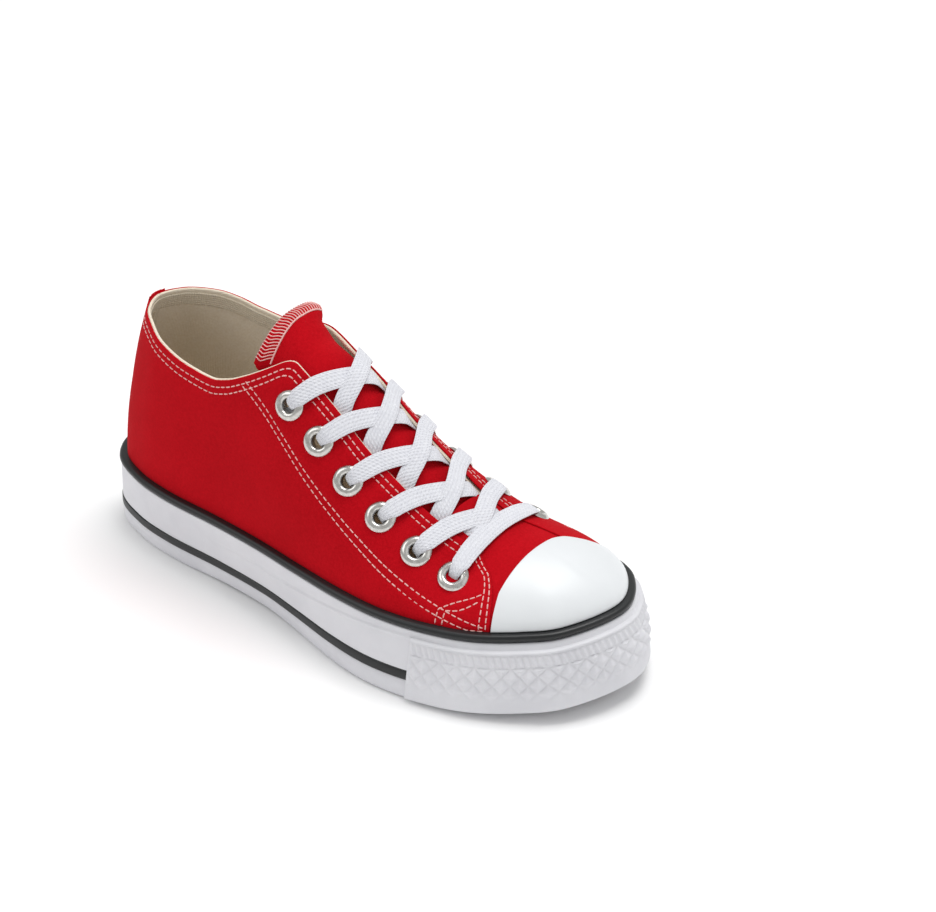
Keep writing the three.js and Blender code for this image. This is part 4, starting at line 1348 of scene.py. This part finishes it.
def makeLace():
    first, sideA, signA = laceHalf(-1)
    second, sideB, signB = laceHalf(1)
    x = eyeletLook["rows"][5]
    middle = laceStop(x, -1, 0.7, 1.3)[0]
    endA = overStops(5, sideA, signA, middle)
    bar = []
    for side, half, out in ((sideA, 15.5, 1.9), (sideA, 0.7, 1.3), (sideB, 15.5, 1.9)):
        p, n = laceStop(x, side, half, out)
        bar.append((p, n * signA, laceLook["wide"], laceLook["thick"]))
    endB = overStops(5, sideB, signB, middle)[::-1]
    # the second half runs backwards; its faces are matched to the first by sign
    match = 1 if np.dot(endB[0][1], bar[-1][1]) > 0 else -1
    back = [(p, f * match, w, h) for p, f, w, h in endB + second[::-1]]
    stops = first + endA + bar + back
    centre = np.array([s[0] for s in stops])
    face = unit(np.array([s[1] for s in stops]))
    size = np.array([[s[2], s[3]] for s in stops])
    k = laceLook["steps"]
    line, faces, sizes = [], [], []
    for i in range(len(stops) - 1):
        p1, p2 = centre[i], centre[i + 1]
        p0 = centre[i - 1] if i > 0 else 2 * p1 - p2
        p3 = centre[i + 2] if i + 2 < len(stops) else 2 * p2 - p1
        gaps = [math.sqrt(max(np.linalg.norm(b - a), 1e-3)) for a, b in ((p0, p1), (p1, p2), (p2, p3))]
        d0, d1, d2 = gaps
        t1 = ((p1 - p0) / d0 - (p2 - p0) / (d0 + d1) + (p2 - p1) / d1) * d1
        t2 = ((p2 - p1) / d1 - (p3 - p1) / (d1 + d2) + (p3 - p2) / d2) * d1
        for s in range(k):
            w = s / k
            line.append(p1 + t1 * w + (3 * (p2 - p1) - 2 * t1 - t2) * w**2 + (2 * (p1 - p2) + t1 + t2) * w**3)
            ease = w * w * (3 - 2 * w)
            faces.append(face[i] * (1 - ease) + face[i + 1] * ease)
            sizes.append(size[i] * (1 - ease) + size[i + 1] * ease)
    line, faces, sizes = np.array(line), np.array(faces), np.array(sizes)
    along = unit(np.gradient(line, axis=0))
    wide = unit(np.cross(faces, along))
    flat = np.cross(along, wide)
    sides = 16
    loops = []
    for m in range(sides):
        angle = 2 * math.pi * m / sides
        c, s = math.cos(angle), math.sin(angle)
        # a flattened oval
        w = math.copysign(abs(c) ** 0.75, c) * 0.5
        h = math.copysign(abs(s) ** 0.45, s) * 0.5
        loops.append(line + wide * (w * sizes[:, :1]) + flat * (h * sizes[:, 1:]))
    loops = np.stack(loops, 1)
    run = np.concatenate([[0], np.cumsum(np.linalg.norm(np.diff(line, axis=0), axis=1))])
    print("lace length on the shoe %.0f mm" % run[-1])
    ni, nj = loops.shape[:2]
    quads = [list(f) for f in gridFaces(ni, nj, False, True)]
    quads.append(list(range(nj)))
    quads.append(list(range((ni - 1) * nj, ni * nj))[::-1])
    acrossUv = np.cos(np.arange(sides) * 2 * math.pi / sides) * laceLook["wide"] / 2
    uv = np.stack(np.broadcast_arrays(run[:, None], acrossUv[None, :]), -1).reshape(-1, 2)
    nodes = ["lace_crossing_%d" % i for i in range(1, 6)] + ["lace_bar"]
    addPiece("shoeLace", loops.reshape(-1, 3), quads, laceCotton, uv, 60, nodes)


makeLace()
print("lace ready")

# floor, light, camera
view = {
    "turn": 37.8406, "height": 33.0, "lens": 96.535, "place": (696.96, -728.54, 629.10), "shiftX": 0.1199,
    "shiftY": 0.0862,
}
light = {"keySize": 1.2, "keyPower": 22, "fillPower": 2, "sidePower": 7, "sky": 0.56}


def makeFloor():
    mesh = bpy.data.meshes.new("floor")
    s = 6.0
    mesh.from_pydata([(-s, -s, 0), (s, -s, 0), (s, s, 0), (-s, s, 0)], [], [(0, 1, 2, 3)])
    look = {"Base Color": linear("FAFAFA"), "Roughness": 0.9, "Specular IOR Level": 0.1}
    material = newMaterial("white paper sweep", look)[0]
    mesh.materials.append(material)
    floor = bpy.data.objects.new("floor", mesh)
    bpy.context.scene.collection.objects.link(floor)


def addLamp(name, place, aim, size, power, colour="FFFFFF"):
    lamp = bpy.data.lights.new(name, "AREA")
    lamp.shape = "DISK"
    lamp.size = size
    lamp.energy = power
    lamp.color = linear(colour)[:3]
    item = bpy.data.objects.new(name, lamp)
    item.location = place
    item.rotation_euler = (Vector(aim) - Vector(place)).to_track_quat("-Z", "Y").to_euler()
    bpy.context.scene.collection.objects.link(item)


def makeStudio():
    makeFloor()
    world = bpy.data.worlds.new("studio")
    bpy.context.scene.world = world
    bpy.context.scene.view_settings.view_transform = "Standard"
    world.use_nodes = True
    world.node_tree.nodes["Background"].inputs["Color"].default_value = (1, 1, 1, 1)
    world.node_tree.nodes["Background"].inputs["Strength"].default_value = light["sky"]
    a = math.radians(view["turn"])
    right = Vector((math.cos(a), math.sin(a), 0))
    toCamera = Vector((math.sin(a), -math.cos(a), 0))
    addLamp(
        "key", right * 0.35 - toCamera * 0.25 + Vector((0, 0, 1.9)), (0, 0, 0.05), light["keySize"],
        light["keyPower"],
    )
    addLamp("fill", toCamera * 0.9 + right * 1.4 + Vector((0, 0, 0.9)), (0, 0, 0.05), 1.5, light["fillPower"])
    addLamp(
        "side", -right * 1.5 + toCamera * 0.2 + Vector((0, 0, 1.5)), (0, 0, 0.05), 1.4, light["sidePower"]
    )
    data = bpy.data.cameras.new("camera")
    data.lens = view["lens"]
    data.sensor_width = 36
    data.sensor_fit = "HORIZONTAL"
    data.shift_x = view["shiftX"]
    data.shift_y = view["shiftY"]
    data.clip_end = 20
    camera = bpy.data.objects.new("camera", data)
    camera.location = toFrame(view["place"])
    camera.rotation_euler = (math.radians(90 - view["height"]), 0, a)
    bpy.context.scene.collection.objects.link(camera)
    bpy.context.scene.camera = camera


makeStudio()
